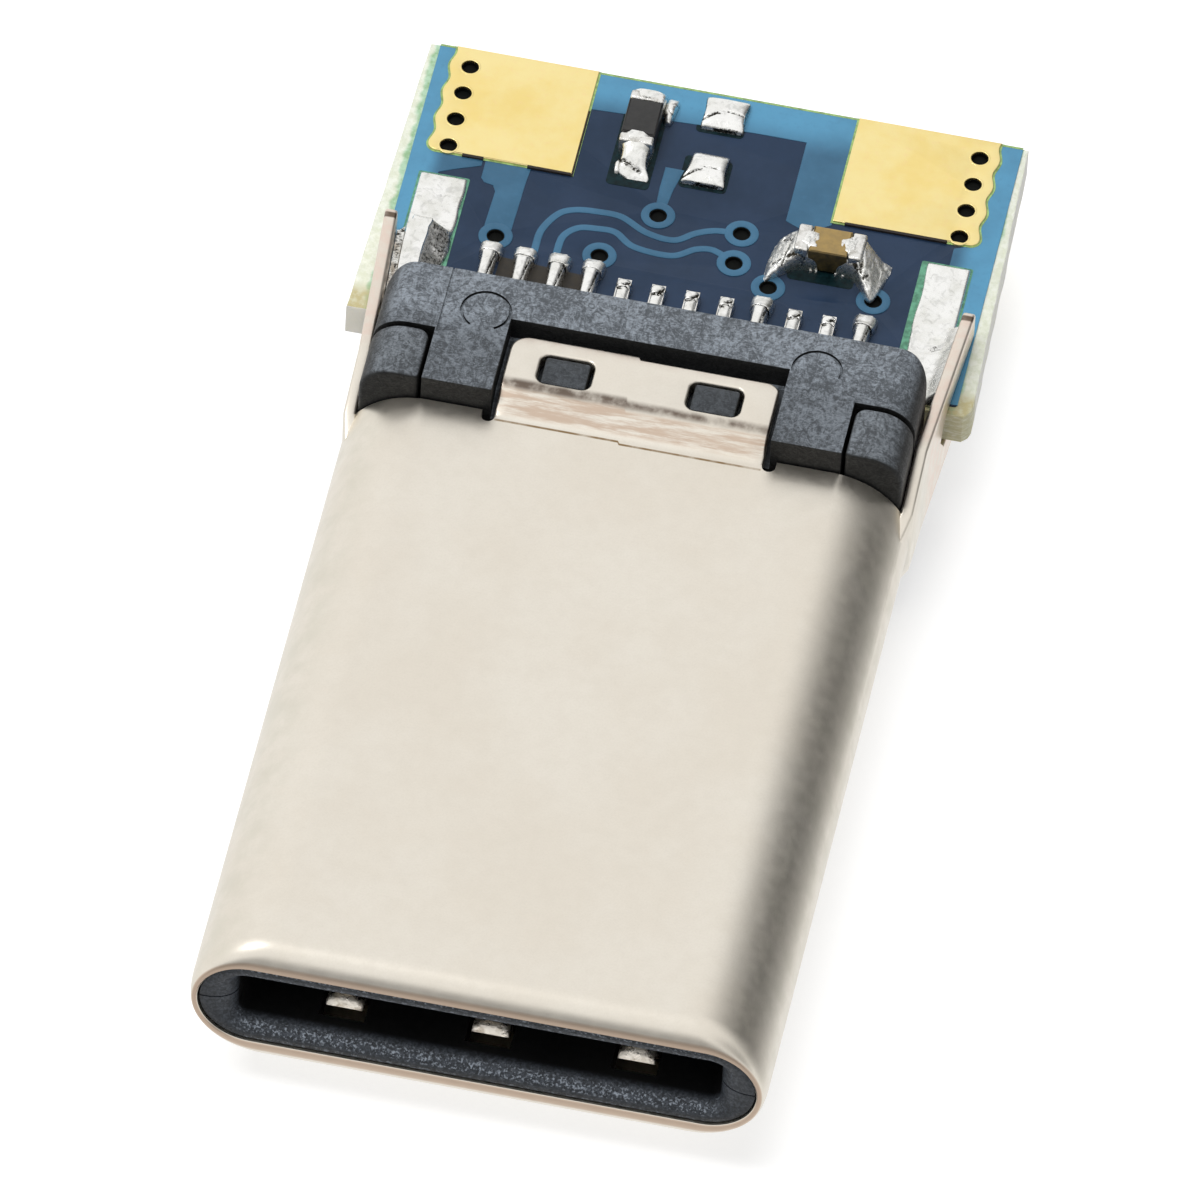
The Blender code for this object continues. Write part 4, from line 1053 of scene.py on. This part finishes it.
def make_copper():
    """Copper under the lacquer: the ground areas, the traces and the rings round the small holes."""
    rear = BOARD_END - 0.03
    left, right = MASK_LEFT + 0.003, MASK_RIGHT + 0.003
    side = PAD_OUT - 0.06
    areas = [
        # Strip along the rear edge with the area below it, and the margins beside the wire pads
        [(-PAD_IN, rear), (-PAD_IN, 17.3), (0.49, 17.4), (1.26, 17.4), (1.26, 15.85), (1.6, 15.7),
         (PAD_IN, 15.92), (PAD_IN, rear)],
        [(right, 12.98), (right, rear), (side, rear), (side, 16.0), (3.72, 15.9), (3.72, 12.98)],
        [(-left, 13.6), (-3.8, 13.6), (-3.8, 15.6), (-3.6, 15.7), (-3.22, 15.86), (-3.22, 16.0),
         (-side, 16.02), (-side, rear), (-left, rear)],
        # Necks to two small holes, then the traces
        [(-3.18, 15.98), (-3.18, 15.64), (-3.12, 15.56), (-2.98, 15.53), (-2.93, 15.42), (-2.95, 14.75),
         (-2.55, 14.75), (-2.53, 15.7), (-2.51, 15.98)],
        [(-0.62, 15.68), (-0.47, 15.68), (-0.43, 16.05), (-0.35, 16.46), (-0.63, 16.46), (-0.635, 16.05)],
        band([(-2.14, 14.2), (-2.15, 14.5), (-2.13, 14.86), (-1.96, 15.21), (-1.73, 15.35), (-1.4, 15.39),
              (-1.05, 15.37), (-0.65, 15.16), (-0.24, 15.11), (0.04, 15.31), (0.28, 15.42), (0.49, 15.45)],
             0.11),
        band([(-1.82, 14.2), (-1.83, 14.52), (-1.8, 14.82), (-1.62, 15.02), (-1.35, 15.07), (-1.08, 15.06),
              (-0.77, 14.85), (-0.22, 14.81), (0.1, 15.01), (0.32, 15.06), (0.52, 14.99)], 0.11),
        band([(1.24, 14.35), (1.22, 14.22), (1.24, 14.05)], 0.14),
    ]
    sheets = [layer([area], -SINK, COPPER_T, 0.008, 2) for area in areas]
    for x, y in VIAS:
        ring = [circle(x, y, RING_R), circle(x, y, HOLE_R + HOLE_GAP)]
        sheets.append(layer(ring, -SINK, COPPER_T + 0.003, 0.008, 2))
    add_faces("board_copper", merged(sheets), "copper")


def make_barrels():
    """Plated walls of the drilled holes and a disc in each bore, painted near black as the shade inside the
    holes.
    """
    plug = BOARD_TOP - SHADE_DISC_DEPTH
    tubes = []
    for x, y in HOLES:
        bore = circle(x, y, HOLE_R - BARREL_T)
        tubes.append(slab([circle(x, y, HOLE_R + 0.002), bore], -BOARD_TOP, BOARD_TOP, 0.0))
        # A dark disc across the bore that stands for the shade further down the hole
        tubes.append(slab([bore], -plug, plug, 0.0))
    add_piece("hole_barrels", merged(tubes), "barrel")


def make_gold_pads():
    """Wire pads whose outer edges bulge round their plated holes."""
    rear = BOARD_END - 0.006
    front = PAD_LOW.y
    bulge = PAD_OUT + 2 * PAD_WAVE
    edge = [(PAD_IN, rear), (PAD_IN, front)]
    edge += arc(bulge - PAD_CORNER, front + PAD_CORNER, PAD_CORNER, -90, 0, 8)
    pitch = PAD_HOLE_Y[0] - PAD_HOLE_Y[1]
    for y in spread(PAD_HOLE_Y[-1], rear, 44)[1:]:
        wave = math.cos(2 * math.pi * (y - PAD_HOLE_Y[-1]) / pitch)
        edge.append((PAD_OUT + PAD_WAVE * (1 + wave), y))
    holes = [circle(PAD_HOLE_X, y, HOLE_R) for y in PAD_HOLE_Y]
    for side, tag, other in SIDES:
        outlines = [[(side * x, y) for x, y in points] for points in [edge] + holes]
        pad = slab(outlines, BOARD_TOP - 0.01, PAD_HIGH.z - 0.002, 0.016, 3, 0.0)
        rims = [slab([circle(side * PAD_HOLE_X, y, HOLE_R + 0.035), circle(side * PAD_HOLE_X, y, HOLE_R)],
                     BOARD_TOP, PAD_HIGH.z, 0.012, 3, 0.0) for y in PAD_HOLE_Y]
        add_both("wire_pad", merged([pad] + rims), "gold", "gold_pad", tag, other)
        plan = outlines[0] if side * signed_area(edge) > 0 else outlines[0][::-1]
        border = [(p.x, min(p.y, BOARD_END - 0.002)) for p in inset(plan, -PAD_RIM)]
        add_faces("pad_opening_rim" + tag, layer([border, outlines[0]], -SINK, 0.012), "rim")
    line = rectangle(-MASK_LEFT, MASK_RIGHT, BOARD_END - 0.04, BOARD_END - 0.004)
    add_faces("board_edge_line", layer([line], -SINK, 0.01), "rim")
    notches = ((-3.53, -3.22), (-2.57, -1.93), (2.1, 3.6))
    plans = [rectangle(x0, x1, front - PAD_SHADE, front + 0.012) for x0, x1 in notches]
    strips = [slab([plan], BOARD_TOP, PAD_HIGH.z + 0.001, 0.004, 1, 0.0) for plan in plans]
    beside = rectangle(-PAD_IN - 0.012, -PAD_IN + 0.022, front - PAD_SHADE, 17.25)
    strips.append(layer([beside], 0.0, 0.02, 0.004, 1))
    add_faces("pad_edge_shade", merged(strips), "shade")


def make_bare_laminate():
    """Uncoated brown laminate between the first leads."""
    plan = [(-2.62, MASK_FRONT), (-1.3, MASK_FRONT), (-1.36, 14.15), (-2.6, 14.22)]
    add_both("bare_laminate", layer([plan], -SINK, 0.004, 0.002, 1), "bare")


def add_flux_and_shadow_film(name, x0, x1, y0, y1):
    """Dark film round a joint, partly flux on the lacquer and partly painted shadow."""
    add_piece(name, layer([rounded(x0, x1, y0, y1, 0.07)], -0.002, 0.006, 0.003, 1), "film")


# Solder

def mound(stations, creases=(), heading=0.0, at=(0.0, 0.0), boxy=0.75, around=26, along=12, rough=0.0,
          rough_size=6.0, seed=0.0):
    """Solder that has run along a line: stations are distance, left edge, right edge and height.

    Heading turns the line, 0 pointing along +y and 90 along -x. A crease is a share across where it
    starts and its distance there, the same where it ends, its width, depth and darkness of painted shade.
    """
    spans = smooth_path([(d, left, right) for d, left, right, _ in stations], along)
    heights = smooth_path([(d, h, 0.0) for d, _, _, h in stations], along)
    turn = Matrix.Rotation(math.radians(heading), 2)
    rings, stains_and_painted_shade = [], []
    for span, height in zip(spans, heights):
        ring = []
        middle, half = (span.y + span.z) / 2, max((span.z - span.y) / 2, 0.004)
        for k in range(around + 1):
            a = math.pi * k / around
            share = math.copysign(abs(math.cos(a)) ** boxy, math.cos(a))
            across = middle + half * share
            up, painted_shade_and_stain = max(math.sin(a), 0.0) ** boxy * max(height.y, 0.003), 0.0
            if 0 < k < around:
                lumps = noise.noise(Vector((span.x, across, seed)) * rough_size)
                lumps += 0.5 * noise.noise(Vector((span.x, across, seed + 5.0)) * rough_size * 2.3)
                up = max(up * 0.3, up + rough * lumps)
                for u0, d0, u1, d1, width, depth, dark in creases:
                    leg = Vector((half * (u1 - u0), d1 - d0))
                    offset = Vector((half * (share - u0), span.x - d0))
                    t = clamp(offset.dot(leg) / leg.length_squared)
                    near = math.exp(-((offset - leg * t).length / width) ** 2)
                    up -= depth * near * math.sin(a)
                    painted_shade_and_stain = max(painted_shade_and_stain, dark * near)
            flat = turn @ Vector((across, span.x))
            ring.append((at[0] + flat.x, at[1] + flat.y, SOLDER_BASE + max(up, 0.002) * (0 < k < around)))
            stains_and_painted_shade.append(painted_shade_and_stain)
        rings.append(ring)
    return loft(rings, stains_and_painted_shade=stains_and_painted_shade)


def make_pin_solder():
    """Solder on each lead where it meets the board: flared pads on some, small beads on the others."""
    start = COLLAR_END + 0.015
    for i, x in enumerate(LEADS):
        end = node_box("contact_top_%02d" % (i + 1))[1].y + 0.02
        lean = 0.03 * math.sin(2.1 * i)
        # Each crease's last number darkens it with painted shade
        if i in FLARED_PINS:
            neck = end - 0.25
            stations = ((start, -0.102, 0.102, 0.12), (start + 0.05, -0.104, 0.104, 0.2),
                        (neck - 0.16, -0.115, 0.115, 0.25), (neck - 0.03, -0.135, 0.135, 0.24),
                        (neck + 0.04, -0.16, 0.165, 0.21), (end - 0.08, -0.165, 0.175, 0.17),
                        (end - 0.02, -0.165, 0.17, 0.13), (end + 0.01, -0.155, 0.16, 0.01))
            creases = ((-1.0, neck + 0.015 + lean, 1.0, neck - 0.01 + lean, 0.013, 0.035, 1.0),
                       (0.8, neck - 0.05, -0.35 + 4 * lean, start + 0.1, 0.013, 0.03, 0.9),
                       (-1.0, neck - 0.1, -0.9, start, 0.02, 0.02, 0.8))
        else:
            neck = end - 0.21
            stations = ((start, -0.1, 0.1, 0.12), (start + 0.05, -0.105, 0.105, 0.17),
                        (neck - 0.06, -0.105, 0.105, 0.18), (neck, -0.11, 0.11, 0.19),
                        (neck + 0.09, -0.125, 0.12, 0.2), (end - 0.05, -0.115, 0.11, 0.17),
                        (end + 0.01, -0.09, 0.08, 0.01))
            creases = ((0.95, neck + 0.12, 0.15, neck + 0.03 + lean, 0.022, 0.05, 1.0),
                       (0.5, neck + 0.01, -0.8, neck - 0.02, 0.013, 0.03, 0.95),
                       (-0.9, neck + 0.14, -0.3, neck + 0.19, 0.013, 0.02, 0.8))
        bead = mound(stations, creases, at=(x, 0.0), boxy=0.65, around=24, along=10, rough=0.008,
                     rough_size=9.0, seed=3.1 * i)
        add_both("pin_solder_%02d" % (i + 1), bead, "bright")


def right_fillet(s, y, crest, lumps):
    """Height and darkness of the right leg's solder: a shallow dish with a soft ridge round its end, painted
    shade round the dish and one dark blot.
    """
    z = LEG_FILM + crest * 0.24 * max(0.0, (s - 0.55) / 0.45) ** 2
    hollow = math.hypot((s - 0.45) / 0.5, (y - LEG_END + 0.36) / 0.22)
    ridge = math.exp(-((hollow - 1.0) / 0.16) ** 2)
    z += 0.014 * ridge - 0.035 * max(0.0, 1 - hollow) + 0.004 * lumps
    painted_shade_and_stain = 0.0
    if y > LEG_END - 0.4:
        painted_shade_and_stain = 0.2 * math.exp(-((hollow - 0.95) / 0.14) ** 2) * (s < 0.8)
    blot = math.hypot((s - 0.62) / 0.16, (y - LEG_END + 0.42) / 0.1)
    return z, max(painted_shade_and_stain, (0.42 + 0.4 * lumps) * math.exp(-blot ** 2))


def left_fillet(s, y, rise, rear, lumps):
    """Height and darkness of the left leg's solder: a rough slope up to a flat bank beside the leg; the
    slope is darkened as a painted reflection, and a dark smudge lies near the rear.
    """
    crest = clamp((LEG_END + 0.18 - y) / 0.08) * rise
    plateau = clamp((s - 0.36) / 0.06) * clamp((0.86 - s) / 0.04)
    slope = clamp((s - 0.02) / 0.38)
    z = LEG_FILM + crest * (0.28 * max(slope * 0.85, plateau) - 0.14 * (s > 0.86))
    z += crest * (1 - plateau) * 0.02 * lumps + 0.004 * lumps
    smudge = math.hypot((s - 0.45) / 0.3, (y - rear + 0.42) / 0.045)
    return z, max(crest * (1 - plateau) * (0.42 + 0.2 * lumps), 0.3 * math.exp(-smudge ** 2))


def make_leg_solder():
    """Solder that runs from a long pad on the board up the inner face of a leg."""
    for side, tag, other in SIDES:
        low, high = node_box("leg_solder_top" + tag)
        inner = min(abs(low.x), abs(high.x))
        front, rear = low.y, high.y
        rings, stains_and_painted_shade = [], []
        for y in spread(front, rear, 80):
            beside = clamp((LEG_END + 0.02 - y) / 0.1)
            rise = clamp((y - front) / 0.1)
            outer = (leg_face(min(y, LEG_END)) - 0.012) * beside + (1 - beside) * (PAD_OUT + 0.045)
            if side > 0:
                start = inner + 0.07 * clamp((y - front - 0.3) / 0.35) + 0.012 * math.sin(6 * y)
            else:
                start = inner + 0.05 * clamp(1 - abs(y - front - 0.75) / 0.5) + 0.008 * math.sin(11 * y)
            end_fall = min(1.0, (rear - y) / 0.05) ** 0.5 * min(1.0, (y - front + 0.02) / 0.04) ** 0.5
            ring = []
            for s in spread(0, 1, 44):
                x = start + (outer - start) * s
                lumps = noise.noise((x * 6, y * 5, side * 3.0))
                lumps += 0.5 * noise.noise((x * 15, y * 13, side * 7.0))
                if side > 0:
                    z, painted_shade_and_stain = right_fillet(s, y, beside * rise, lumps)
                else:
                    z, painted_shade_and_stain = left_fillet(s, y, rise, rear, lumps)
                edge_fall = min(1.0, s / 0.05) ** 0.5 * max(beside, min(1.0, (1 - s) / 0.05) ** 0.5)
                ring.append((side * x, y, BOARD_TOP + 0.006 + max(z * edge_fall * end_fall, 0.001)))
                stains_and_painted_shade.append(painted_shade_and_stain)
            ring += [(side * outer, y, SOLDER_BASE), (side * start, y, SOLDER_BASE)]
            stains_and_painted_shade += [0.0, 0.0]
            rings.append(ring)
        x0, x1 = sorted((side * (inner - 0.02), side * (PAD_OUT + 0.07)))
        rim = layer([rounded(x0, x1, front, rear + 0.025, 0.03, 3)], 0.0, 0.01)
        add_both("leg_pad_rim" + tag, rim, "pad_rim")
        add_both("leg_fillet", loft(rings, stains_and_painted_shade=stains_and_painted_shade), "bright", "leg_solder", tag, other, MELTED)


def make_chips():
    for chip in ("resistor", "capacitor"):
        pieces = [(chip + "_core", chip + "_body", chip, 0.01, 2, 0.0, 0.025)]
        pieces += [(chip + "_terminal" + end, chip + "_cap" + end, "terminal", 0.04, 4, 0.006, 0.04)
                   for end in ("_a", "_b")]
        for name, node, look, corner, steps, lift, edge in pieces:
            low, high = node_box(node)
            plan = rounded(low.x, high.x, low.y, high.y, corner, steps)
            add_piece(name, slab([plan], low.z, high.z + lift, edge), look, [node])


def make_resistor_solder():
    """A smooth blob that flares at its right foot in front, and a fuller one with a lobe behind."""
    low, high = node_box("resistor_body")
    x = (low.x + high.x) / 2
    # The creases' last numbers darken them with painted shade
    front = mound(
        ((0.0, -0.25, 0.25, 0.36), (0.1, -0.25, 0.25, 0.38), (0.2, -0.24, 0.22, 0.35),
         (0.34, -0.22, 0.19, 0.28), (0.46, -0.23, 0.2, 0.18), (0.54, -0.27, 0.19, 0.1),
         (0.6, -0.28, 0.12, 0.05), (0.64, -0.26, 0.02, 0.01)),
        ((0.55, 0.17, -0.75, 0.13, 0.02, 0.04, 1.0), (0.8, 0.44, -0.4, 0.54, 0.035, 0.02, 0.7),
         (0.95, 0.25, 1.0, 0.55, 0.03, 0.01, 0.7), (-0.9, 0.2, -0.95, 0.42, 0.02, 0.01, 0.5)),
        heading=180, at=(x, BLOB_FRONT_Y), boxy=0.6, around=34, rough=0.008, seed=2.0)
    foot = mound(
        ((0.0, -0.04, 0.04, 0.08), (0.06, -0.05, 0.05, 0.1), (0.16, -0.04, 0.04, 0.06),
         (0.2, -0.02, 0.02, 0.01)),
        heading=180, at=(x + FOOT_PLACE[0], FOOT_PLACE[1]), rough=0.01, seed=4.0)
    rear = mound(
        ((0.0, -0.25, 0.25, 0.36), (0.12, -0.26, 0.26, 0.37), (0.24, -0.26, 0.25, 0.29),
         (0.38, -0.24, 0.23, 0.1), (0.43, -0.18, 0.17, 0.01)),
        ((-0.9, 0.015, 0.9, 0.015, 0.03, 0.0, 0.45),),
        at=(x, BLOB_REAR_Y), boxy=0.6, around=34, rough=0.006, seed=6.0)
    lobe = mound(
        ((0.0, -0.05, 0.04, 0.08), (0.08, -0.08, 0.06, 0.15), (0.24, -0.09, 0.08, 0.17),
         (0.38, -0.09, 0.1, 0.12), (0.46, -0.08, 0.09, 0.07), (0.5, -0.05, 0.05, 0.01)),
        ((-0.2, 0.16, 0.9, 0.12, 0.018, 0.02, 0.6), (0.3, 0.3, 1.0, 0.34, 0.02, 0.01, 0.5)),
        at=(x + LOBE_PLACE[0], LOBE_PLACE[1]), rough=0.01, seed=7.0)
    add_piece("resistor_fillet_front", merged([front, foot]), "bright", ["resistor_solder_front"], MELTED)
    add_piece("resistor_fillet_rear", merged([rear, lobe]), "bright", ["resistor_solder_rear"], MELTED)
    front_y, rear_y = node_box("resistor_solder_front")[0].y + 0.04, node_box("resistor_solder_rear")[1].y
    add_flux_and_shadow_film("resistor_flux_and_shadow_film", low.x - 0.07, high.x + 0.06, front_y, rear_y)


def make_capacitor_solder():
    """Crackled wings that splay towards the front, with spatter before them."""
    low, high = node_box("capacitor_body")
    y = (low.y + high.y) / 2
    crust = {"boxy": 0.6, "around": 40, "along": 14, "rough_size": 11.0}
    # The creases' last numbers darken them with painted shade
    left = mound(
        ((-0.15, -0.25, 0.25, 0.395), (-0.09, -0.26, 0.26, 0.43), (0.1, -0.28, 0.27, 0.44),
         (0.22, -0.34, 0.27, 0.38), (0.34, -0.44, 0.24, 0.28), (0.45, -0.54, 0.18, 0.18),
         (0.53, -0.6, 0.02, 0.09), (0.58, -0.6, -0.28, 0.01)),
        ((-0.2, 0.16, 0.7, 0.08, 0.03, 0.05, 0.6), (-0.85, 0.06, -0.7, 0.26, 0.04, 0.05, 0.95),
         (0.2, 0.28, 0.6, 0.4, 0.03, 0.04, 0.6), (-0.6, 0.38, -0.4, 0.48, 0.016, 0.04, 0.9),
         (-0.9, 0.34, -0.2, 0.3, 0.014, 0.03, 0.7)),
        heading=90, at=(low.x, y), rough=0.026, seed=9.0, **crust)
    right = mound(
        ((-0.15, -0.25, 0.25, 0.395), (-0.09, -0.26, 0.26, 0.43), (0.1, -0.27, 0.3, 0.44),
         (0.2, -0.28, 0.4, 0.38), (0.3, -0.24, 0.54, 0.29), (0.4, -0.17, 0.66, 0.19),
         (0.48, -0.12, 0.62, 0.12), (0.56, -0.1, 0.3, 0.06), (0.62, -0.08, 0.04, 0.01)),
        ((-0.3, 0.14, 0.4, 0.1, 0.03, 0.05, 0.6), (0.1, 0.2, 0.75, 0.22, 0.03, 0.04, 0.8),
         (0.35, 0.34, 0.8, 0.28, 0.018, 0.03, 0.7), (0.7, 0.02, 0.85, 0.16, 0.04, 0.03, 0.9)),
        heading=-90, at=(high.x, y), rough=0.024, seed=13.0, **crust)
    add_piece("capacitor_fillet_left", left, "crusted", ["capacitor_solder_left"], MELTED)
    add_piece("capacitor_fillet_right", right, "crusted", ["capacitor_solder_right"], MELTED)
    add_flux_and_shadow_film("capacitor_flux_and_shadow_film", low.x - 0.26, high.x + 0.14, low.y - 0.22, low.y + 0.12)
    drop = ((0.0, -0.012, 0.012, 0.01), (0.02, -0.025, 0.025, 0.05), (0.045, -0.01, 0.01, 0.01))
    places = ((low.x + 0.06, 0.05), (low.x + 0.14, 0.04), (high.x - 0.15, 0.03), (high.x - 0.04, 0.04))
    drops = [mound(drop, at=(x, low.y - before), around=10, along=4) for x, before in places]
    add_piece("capacitor_spatter", merged(drops), "bright", smooth_under=MELTED)


def make_blank_domes():
    """Two solder domes on pads that carry nothing: square in plan, bright in front of a crease darkened with
    painted shade, with painted shadow along their sides and front edge.
    """
    for tag, seed, front, rear, crease in (
            ("rear", 21.0, (0.3, 0.29), (0.3, 0.29), (-0.95, 0.1, -0.1, 0.26, 0.9, 0.235)),
            ("front", 27.0, (0.33, 0.27), (0.24, 0.25), (-1.0, 0.05, -0.1, 0.25, 0.6, 0.24))):
        low, high = node_box("blank_pad_solder_" + tag)
        grow = (high.x - low.x) / 0.6 * 1.12
        reach = (high.y - low.y) * 1.15
        stations = []
        for share, height, swell in DOME:
            left, right = (a + (b - a) * share + swell for a, b in zip(front, rear))
            stations.append((reach * share, -left * grow, right * grow, height))
        u0, d0, u1, d1, u2, d2 = crease
        k = reach / 0.56
        # Two creases with a dip and painted shade, then painted shadow without a dip along both sides and
        # the front edge
        creases = ((u0, d0 * k, u1, d1 * k, 0.02, 0.035, 0.85), (u1, d1 * k, u2, d2 * k, 0.017, 0.03, 0.6),
                   (-1.0, 0.0, -1.0, reach, 0.022, 0.0, 0.7), (1.0, 0.0, 1.0, reach, 0.022, 0.0, 0.7),
                   (-0.4, 0.0, 0.7, 0.0, 0.022, 0.0, 0.8))
        dome = mound(stations, creases, at=((low.x + high.x) / 2, low.y - 0.04), boxy=0.42, around=36,
                     rough=0.006, seed=seed)
        add_piece("blank_pad_dome_" + tag, dome, "bright", ["blank_pad_solder_" + tag], MELTED)
        add_flux_and_shadow_film("blank_pad_flux_and_shadow_film_" + tag, low.x - 0.09, high.x + 0.03, low.y - 0.09, high.y)


# Stage, light and camera

def make_floor():
    """White paper that keeps the shadow and can be seen through from below."""
    bm = bmesh.new()
    bmesh.ops.create_grid(bm, x_segments=8, y_segments=8, size=FLOOR_SIZE)
    floor = to_object("floor", bm)
    floor.location.z = CAD_LOW.z - FLOOR_GAP
    floor.visible_glossy = False
    mat = bpy.data.materials.new("floor_paper")
    mat.use_nodes = True
    mat.node_tree.nodes.clear()
    tree = Tree(mat.node_tree)
    strength = tree.add("LightPath", out="Is Camera Ray") * PAPER_GLOW
    glow = tree.add("Emission", {"Color": WHITE, "Strength": strength})
    paper = tree.add("AddShader", {0: tree.add("BsdfDiffuse", {"Color": PAPER}), 1: glow})
    below = tree.add("NewGeometry", out="Backfacing")
    one_way = tree.add("MixShader", {0: below, 1: paper, 2: tree.add("BsdfTransparent")})
    tree.add("OutputMaterial", {"Surface": one_way}, None)
    floor.data.materials.append(mat)


def make_world():
    """White studio for camera and metal, with soft dark cards in it, and a plain even fill."""
    world = bpy.data.worlds.new("studio")
    bpy.context.scene.world = world
    world.use_nodes = True
    world.cycles.sampling_method = "NONE"
    world.node_tree.nodes.clear()
    tree = Tree(world.node_tree)
    place = tree.add("TexCoord", out="Generated")
    level = None
    for direction, inner, outer, taken in CARDS:
        aim = Vector(direction).normalized()
        dot = tree.add("VectorMath", {0: place, 1: aim}, "Value", operation="DOT_PRODUCT")
        low, high = math.cos(math.radians(outer)), math.cos(math.radians(inner))
        card = dot.ramp(low, high, 1.0, 1.0 - taken, "LINEAR")
        level = level * card if level else card
    fill = tree.add("Background", {"Color": WHITE, "Strength": WORLD_FILL})
    mirrored = tree.add("Background", {"Color": WHITE, "Strength": level})
    shown = tree.add("Background", {"Color": WHITE})
    seen, glossy, through = (tree.add("LightPath", out="Is %s Ray" % kind)
                             for kind in ("Camera", "Glossy", "Transmission"))
    lit = tree.add("MixShader", {0: tree.math("MAXIMUM", glossy, through), 1: fill, 2: mirrored})
    tree.add("OutputWorld", {"Surface": tree.add("MixShader", {0: seen, 1: lit, 2: shown})}, None)


def add_lamp(name, place, size, power, seen_in_metal):
    """Soft square lamp that points at the middle of the plug."""
    data = bpy.data.lights.new(name, "AREA")
    data.shape = "SQUARE"
    data.size = size
    data.energy = power
    lamp = bpy.data.objects.new(name, data)
    lamp.location = place
    lamp.rotation_mode = "QUATERNION"
    lamp.rotation_quaternion = (Vector(place) * -1).to_track_quat("-Z", "Y")
    lamp.visible_glossy = seen_in_metal
    bpy.context.scene.collection.objects.link(lamp)


def make_camera():
    """Long lens above the mouth end, fitted to the photograph's view."""
    azimuth, elevation, roll = math.radians(8.7818), math.radians(49.5716), math.radians(3.5869)
    shift_x, shift_y, distance = 1.73208, 6.26282, 319.993
    focal_px, picture_px = 22898.96, 1200
    back = Vector((math.sin(azimuth) * math.cos(elevation), -math.cos(azimuth) * math.cos(elevation),
                   math.sin(elevation)))
    right = Vector((math.cos(azimuth), math.sin(azimuth), 0.0))
    up = back.cross(right)
    across = math.cos(roll) * right + math.sin(roll) * up
    upward = math.cos(roll) * up - math.sin(roll) * right
    data = bpy.data.cameras.new("camera")
    data.sensor_width = 36.0
    data.lens = data.sensor_width * focal_px / picture_px
    data.clip_start = 0.01
    data.clip_end = 100.0
    camera = bpy.data.objects.new("camera", data)
    turn = Matrix((across, upward, back)).transposed().to_4x4()
    spot = ORIGIN + (across * shift_x + upward * shift_y + back * distance) * MM
    camera.matrix_world = Matrix.Translation(spot) @ turn
    bpy.context.scene.collection.objects.link(camera)
    bpy.context.scene.camera = camera


def dress_kept_nodes():
    """Better finishes for the CAD pieces that stay as they are."""
    for name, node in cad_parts.items():
        looks = [start for start in ("contact_carrier", "contact_", "latch_plate") if name.startswith(start)]
        if looks:
            node.data.materials.clear()
            node.data.materials.append(LOOKS[looks[0]])


def main():
    dress_kept_nodes()
    make_shell()
    make_front_housing()
    make_springs()
    make_rear_housing()
    make_corner_blocks()
    make_board()
    make_mask()
    make_copper()
    make_barrels()
    make_gold_pads()
    make_bare_laminate()
    make_pin_solder()
    make_leg_solder()
    make_chips()
    make_resistor_solder()
    make_capacitor_solder()
    make_blank_domes()
    make_floor()
    make_world()
    add_lamp("back_softbox", (-0.03, 0.16, 0.2), 0.16, 0.33, False)
    add_lamp("top_softbox", (-0.05, -0.02, 0.25), 0.14, 0.22, False)
    add_lamp("glint", (-0.1, -0.03, 0.16), 0.03, 0.05, True)
    make_camera()
    bpy.context.scene.view_settings.view_transform = "Standard"


main()
bpy.context.view_layer.update()
